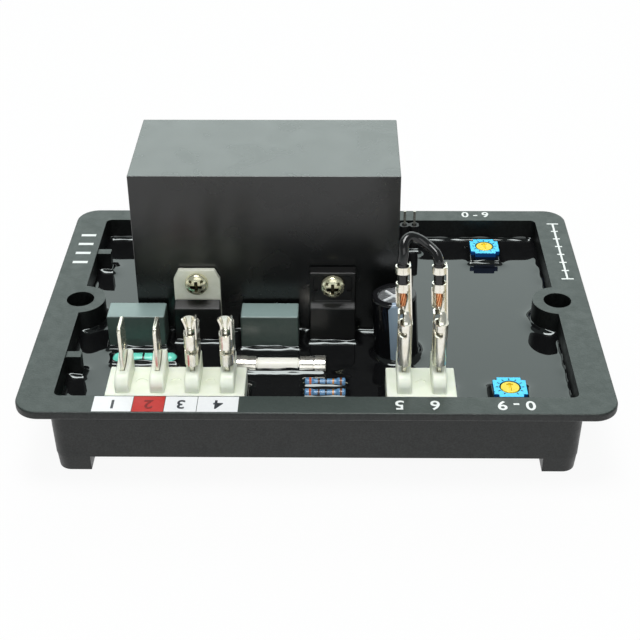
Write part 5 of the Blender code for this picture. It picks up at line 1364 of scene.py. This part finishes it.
def make_crimped_receptacle(number):
    node = f"crimped_receptacle_{number}"
    low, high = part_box(node)
    tab = tab_middle(number)
    box_top = crimped_box_top(number)
    shell = rolled_box(f"crimped_shell_{number}", tab.x, tab.y, low.z, box_top)
    shell = notch_rolls(shell, tab.x, tab.y, low.z + CRIMPED_NOTCH_RISE, 0.25 * MM)
    join(shell, receptacle_strip(f"neck_{number}", tab.x, tab.y, NECK_WIDTH, box_top - OVERSHOOT,
                                 high.z - OVERSHOOT / 4))
    axis = crimp_axis(number)
    join(shell, formed_sheet(f"trough_{number}", neck_rows(tab, axis, box_top), BARREL_WALL))
    conductor = box_top + NECK_LENGTH
    collars = [rolled_collar(f"conductor_{number}", axis, tab.y, conductor, conductor + CONDUCTOR_CRIMP),
               rolled_collar(f"insulation_{number}", axis, tab.y, high.z - INSULATION_CRIMP - 0.5 * MM,
                              high.z - 0.4 * MM)]
    join(shell, *collars)
    shell = bake(shell)
    for vertex in shell.data.vertices:
        vertex.co.x += crimp_shift(vertex.co.z, box_top)
    dress(shell, RECEPTACLE_METAL, [node], smooth=40)


def jumper_route():
    """A smooth curve from one crimp, over the top and down into the other."""
    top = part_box("crimped_receptacle_5")[1].z
    strip_line = crimped_box_top(5) + NECK_LENGTH + CONDUCTOR_CRIMP - 0.4 * MM
    leaning = [(crimp_shift(height, crimped_box_top(5)), height)
               for height in (strip_line, top, top + LEAD_RADIUS / 2)]
    ends = [[Vector((crimp_axis(number) + shift, tab_middle(number).y, height)) for shift, height in leaning]
            for number in (5, 6)]
    crest = Vector((middle_of("two_way_housing").x, tab_middle(5).y, top))
    middle = [crest + Vector(offset) for offset in JUMPER_MIDDLE]
    return smooth_route([*ends[0], *middle, *reversed(ends[1])], 12)


def make_jumper():
    lead = wire("insulated_jumper", jumper_route(), LEAD_RADIUS, 28)
    dress(lead, INSULATION, ["jumper_lead"], smooth=60)
    for number in (1, 2):
        low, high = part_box(f"jumper_strands_{number}")
        make_strands(number, low, high)


def make_strands(number, low, high):
    """Seven copper wires, six of them laid round the middle one."""
    lean = -CRIMP_LEAN * (high.z - low.z)
    foot = Vector((crimp_axis(number + 4), (low.y + high.y) / 2, low.z))
    foot.x += crimp_shift(low.z, crimped_box_top(5))
    radius = (high.y - low.y) / 2
    single = radius / 3
    wires = []
    for strand in range(7):
        points = []
        for step in range(19):
            share = step / 18
            angle = strand * pi / 3 + share * 2.2
            reach = 0 if strand == 6 else radius - single
            points.append((foot.x + lean * share + reach * cos(angle), foot.y + reach * sin(angle),
                           foot.z + (high.z - low.z) * share))
        wires.append(wire(f"strand_{number}_{strand}", points, single * 1.02, 12))
    strands = gather(f"copper_strands_{number}", wires)
    dress(strands, COPPER, [f"jumper_strands_{number}"], smooth=60)


# Trimmers and link header

def notched_square(side, notch):
    half = side / 2
    inner = half - notch
    quarter = [(half, -inner), (half, inner), (inner, inner)]
    outline = []
    for step in range(4):
        angle = step * pi / 2
        outline += [(x * cos(angle) - y * sin(angle), x * sin(angle) + y * cos(angle)) for x, y in quarter]
    return outline


def make_trimmer(side):
    low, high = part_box(f"{side}_trimmer")
    rotor_low, rotor_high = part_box(f"{side}_trimmer_rotor")
    x = (low.x + high.x) / 2
    y = (low.y + high.y) / 2
    width = high.x - low.x
    radius = (rotor_high.x - rotor_low.x) / 2
    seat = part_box("heat_sink")[0].z
    pocket_floor = rotor_low.z - FIT
    parting = high.z - TRIMMER_CAP_HEIGHT
    cap = bake(bevel(plate(f"{side}_cap", notched_square(width, TRIMMER_NOTCH), parting, high.z, (x, y)),
                     0.12 * MM, 2))
    cut(cap, upright(f"{side}_cap_pocket", radius + FIT, x, y, parting - OVERSHOOT, high.z + OVERSHOOT, 64))
    lower = plate(f"{side}_base", notched_square(width - 0.3 * MM, TRIMMER_NOTCH), seat, parting, (x, y))
    cut(lower, upright(f"{side}_base_pocket", radius + FIT, x, y, pocket_floor, high.z + OVERSHOOT, 64))
    pins = [upright(f"{side}_pin_{number}", 0.3 * MM, x + shift_x, y + shift_y, low.z, seat + OVERSHOOT, 16)
            for number, (shift_x, shift_y) in enumerate(((-2.5 * MM, -2.5 * MM), (2.5 * MM, -2.5 * MM),
                                                         (0.0, 2.5 * MM)))]
    ticks = []
    for number in range(TICKS):
        angle = radians(TICK_START + TICK_SWEEP * number / (TICKS - 1))
        tick = box(f"{side}_tick_{number}", radius + TICK_REACH, 0, TICK_LENGTH, TICK_WIDTH,
                   high.z - 2 * PRINT_THICKNESS, high.z - 0.001 * MM + PRINT_THICKNESS)
        tick.data.transform(Matrix.Translation((x, y, 0)) @ Matrix.Rotation(angle, 4, "Z"))
        ticks.append((tick, 1))
    body = painted(f"{side}_trimmer_case", [(cap, 0), (lower, 2), *[(pin, 3) for pin in pins], *ticks])
    dress(body, [TRIMMER_BLUE, TRIMMER_INK, TRIMMER_BASE, TIN], [f"{side}_trimmer"])
    make_rotor(side, x, y, rotor_low.z, rotor_high.z, radius)


def make_rotor(side, x, y, base, top, radius):
    rotor = bake(bevel(upright(f"{side}_slotted_rotor", radius, 0, 0, base, top, 64), 0.15 * MM, 3))
    slot = box(f"{side}_slot", 0, 0, ROTOR_SLOT_WIDTH, ROTOR_SLOT_LENGTH, top - ROTOR_SLOT_DEPTH,
               top + OVERSHOOT)
    cut(rotor, bake(bevel(slot, 0.08 * MM, 2)))
    cut(rotor, box(f"{side}_pointer", 0, 0.95 * MM, 1.5 * MM, 0.4 * MM, top - 0.3 * MM, top + OVERSHOOT))
    rotor = bake(rotor)
    rotor.data.transform(Matrix.Translation((x, y, 0)))
    dress(rotor, ROTOR_YELLOW, [f"{side}_trimmer_rotor"], body=f"{side}_rotor")


def make_link_header():
    low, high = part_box("link_header")
    centre = (low + high) / 2
    half = (high.y - low.y) / 2
    edge = half - LINK_CHAMFER
    right = [(2 * half, -edge), (2 * half, edge), (half + edge, half), (half - edge, half), (0, edge)]
    outline = right + [(-x, y) for x, y in reversed(right[:-1])]
    outline += [(x, -y) for x, y in reversed(outline)][2:-2]
    base = bake(bevel(plate("pin_strip", outline, low.z, high.z, (centre.x, centre.y)), 0.12 * MM, 2))
    for number in (1, 2):
        pin_low, pin_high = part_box(f"link_pin_{number}")
        pin = middle_of(f"link_pin_{number}")
        room = pin_high.x - pin_low.x + 2 * FIT
        cut(base, box(f"pin_room_{number}", pin.x, pin.y, room, room, low.z - OVERSHOOT,
                      high.z + OVERSHOOT))
        post = plate(f"square_pin_{number}", rounded_outline(pin_high.x - pin_low.x, pin_high.y - pin_low.y,
                                                            0.06 * MM, 2),
                     pin_low.z, pin_high.z, (pin.x, pin.y))
        dress(bake(bevel(post, 0.16 * MM, 2, 60)), PIN, [f"link_pin_{number}"])
    dress(bake(base), HEADER, ["link_header"])


# Prints on the rim

def dress_print(item, finish):
    return dress(item, finish, smooth=30, weighted=False)


def flat_figures(name, text, x, y, size, turn, finish=PAINT):
    """Plain figures printed on the rim, read along a direction of the plane."""
    font = bpy.data.curves.new(name, "FONT")
    font.body = text
    font.size = size
    font.extrude = PRINT_THICKNESS / 2
    font.offset = size * 0.018
    font.align_x = "CENTER"
    font.align_y = "CENTER"
    item = linked(name, font)
    place = Matrix.Translation((x, y, RIM_TOP + PRINT_THICKNESS))
    item.matrix_world = place @ Matrix.Rotation(turn, 4, "Z")
    made = bake(item)
    made.data.materials.clear()
    return dress_print(made, finish)


def flat_bar(name, low_x, low_y, high_x, high_y, lift=0.0):
    base = RIM_TOP - PRINT_THICKNESS / 2 + lift
    bar = block(name, (low_x, low_y, base), (high_x, high_y, RIM_TOP + PRINT_THICKNESS + lift))
    return dress_print(bar, PAINT)


def make_label_strip():
    """Four stuck-on cells in front of the four tabs, the second of them red."""
    back, front = LABEL_BACK_Y, LABEL_FRONT_Y
    for number, (start, end) in enumerate(zip(LABEL_EDGES, LABEL_EDGES[1:]), 1):
        finish = LABEL_RED if number == 2 else LABEL_WHITE
        ink = LABEL_RED_INK if number == 2 else LABEL_INK
        gap = 0.07 * MM
        cell = block(f"label_cell_{number}", (start + gap, front, RIM_TOP - PRINT_THICKNESS),
                     (end - gap, back, RIM_TOP + PRINT_THICKNESS))
        dress_print(cell, finish)
        figure = flat_figures(f"label_figure_{number}", str(number), (start + end) / 2, (back + front) / 2,
                              4.2 * MM, pi, ink)
        figure.data.transform(Matrix.Translation((0, 0, PRINT_THICKNESS)))


def make_prints():
    make_label_strip()
    for number in (5, 6):
        flat_figures(f"front_figure_{number}", str(number), tab_middle(number).x - 1.2 * MM, FRONT_PRINT_Y,
                     4.4 * MM, pi)
    flat_figures("front_trimmer_scale", "0 - 9", middle_of("front_trimmer").x, FRONT_PRINT_Y, 4.4 * MM, pi)
    flat_figures("back_trimmer_scale", "0 - 9", middle_of("back_trimmer").x - 1.6 * MM, BACK_PRINT_Y,
                 3.9 * MM, 0)
    for number in range(4):
        y = LEFT_MARK_Y + number * LEFT_MARK_PITCH
        flat_bar(f"left_mark_{number}", -62.4 * MM, y, -58.6 * MM, y + 1.1 * MM)
    wide = RULE_WIDTH / 2
    last = RULE_MARKS - 1
    flat_bar("right_line", RULE_X - wide, RULE_Y, RULE_X + wide, RULE_Y + last * RULE_PITCH)
    for number in range(RULE_MARKS):
        reach = 1.5 * MM if number in (0, last) else 0.9 * MM
        y = RULE_Y + number * RULE_PITCH
        flat_bar(f"right_mark_{number}", RULE_X - reach, y - wide, RULE_X + reach, y + wide, lift=0.005 * MM)


# Pieces that keep the shape of their solids

def finish_hidden_nodes():
    """The board, legs and leads that stand in the resin keep their solids."""
    for node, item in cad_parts.items():
        item.data.materials.clear()
        item.data.materials.append(BOARD if node == "circuit_board" else TIN)


# Stage, lights and camera

def make_floor():
    shape = bmesh.new()
    bmesh.ops.create_grid(shape, x_segments=1, y_segments=1, size=3.0)
    floor = object_from_bmesh("floor", shape)
    made, tree, shader = new_finish("pale_floor", Roughness=0.9)
    shader.inputs["Base Color"].default_value = (0.86, 0.86, 0.86, 1)
    shader.inputs["Specular IOR Level"].default_value = 0.0
    glow = add_node(tree, "Emission", {"Strength": 1.0})
    seen = add_node(tree, "LightPath").outputs
    shown = calculate(tree, "MAXIMUM", seen["Is Camera Ray"], seen["Is Glossy Ray"])
    shown = calculate(tree, "MAXIMUM", shown, seen["Is Transmission Ray"])
    mix = add_node(tree, "MixShader", {0: calculate(tree, "MULTIPLY", shown, FLOOR_GLOW),
                                       1: shader.outputs["BSDF"], 2: glow.outputs["Emission"]})
    tree.links.new(mix.outputs["Shader"], tree.nodes["Material Output"].inputs["Surface"])
    floor.data.materials.append(made)


def make_world():
    """White at the horizon, as behind the photograph, and a dim ceiling above it."""
    world = bpy.data.worlds.new("studio")
    bpy.context.scene.world = world
    world.use_nodes = True
    tree = world.node_tree
    background = tree.nodes["Background"]
    background.inputs["Color"].default_value = (*BACKDROP_COLOUR, 1)
    place = add_node(tree, "TexCoord").outputs["Generated"]
    height = add_node(tree, "SeparateXYZ", {"Vector": place}).outputs["Z"]
    dimmed = map_range(tree, height, 0.06, 0.32, to_min=1.0, to_max=CEILING)
    seen = add_node(tree, "LightPath").outputs
    feed(tree, background.inputs["Strength"], calculate(tree, "MAXIMUM", seen["Is Camera Ray"], dimmed))


def softbox(name, place, aim, width, height, radiance, colour=(1, 1, 1)):
    """A rectangular lamp whose surface shines with the given radiance."""
    lamp = bpy.data.lights.new(name, "AREA")
    lamp.shape = "RECTANGLE"
    lamp.size = width
    lamp.size_y = height
    lamp.energy = radiance * pi * width * height
    lamp.color = colour
    item = linked(name, lamp)
    item.location = place
    item.rotation_euler = (Vector(place) - Vector(aim)).to_track_quat("Z", "Y").to_euler()
    return item


def make_lights():
    middle = (0, 0, 0.02)
    softbox("back_softbox", (0.0, 0.85, 0.60), middle, 1.6, 0.55, 1.82, BACKDROP_COLOUR)
    softbox("top_softbox", (-0.04, -0.04, 0.75), middle, 0.34, 0.26, 13.0)
    softbox("front_softbox", (0.10, -0.75, 0.62), middle, 0.9, 0.5, 1.4)


def make_camera():
    lens = bpy.data.cameras.new("camera")
    lens.sensor_width = CAMERA_SENSOR
    lens.lens = CAMERA_LENS
    lens.clip_start = 0.01
    lens.clip_end = 10.0
    camera = linked("camera", lens)
    turn = (Matrix.Rotation(CAMERA_YAW, 4, "Z") @ Matrix.Rotation(pi / 2 - CAMERA_PITCH, 4, "X")
            @ Matrix.Rotation(CAMERA_ROLL, 4, "Z"))
    camera.matrix_world = Matrix.Translation(CAMERA_PLACE) @ turn
    bpy.context.scene.camera = camera


make_camera()
finish_hidden_nodes()
make_tray()
make_resin()
make_heat_sink()
make_tab_transistor()
make_moulded_transistor()
make_film_capacitors()
make_power_resistor()
make_small_resistors()
make_fuse()
make_electrolytic()
make_housing("four_way_housing", "four_way_terminals", (1, 2, 3, 4))
make_housing("two_way_housing", "two_way_terminals", (5, 6))
for tab_number in range(1, 7):
    make_tab(tab_number)
for tab_number in (3, 4):
    make_loose_receptacle(tab_number)
for tab_number in (5, 6):
    make_crimped_receptacle(tab_number)
make_jumper()
make_trimmer("back")
make_trimmer("front")
make_link_header()
make_prints()
make_floor()
make_world()
make_lights()
bpy.context.scene.view_settings.view_transform = "Standard"
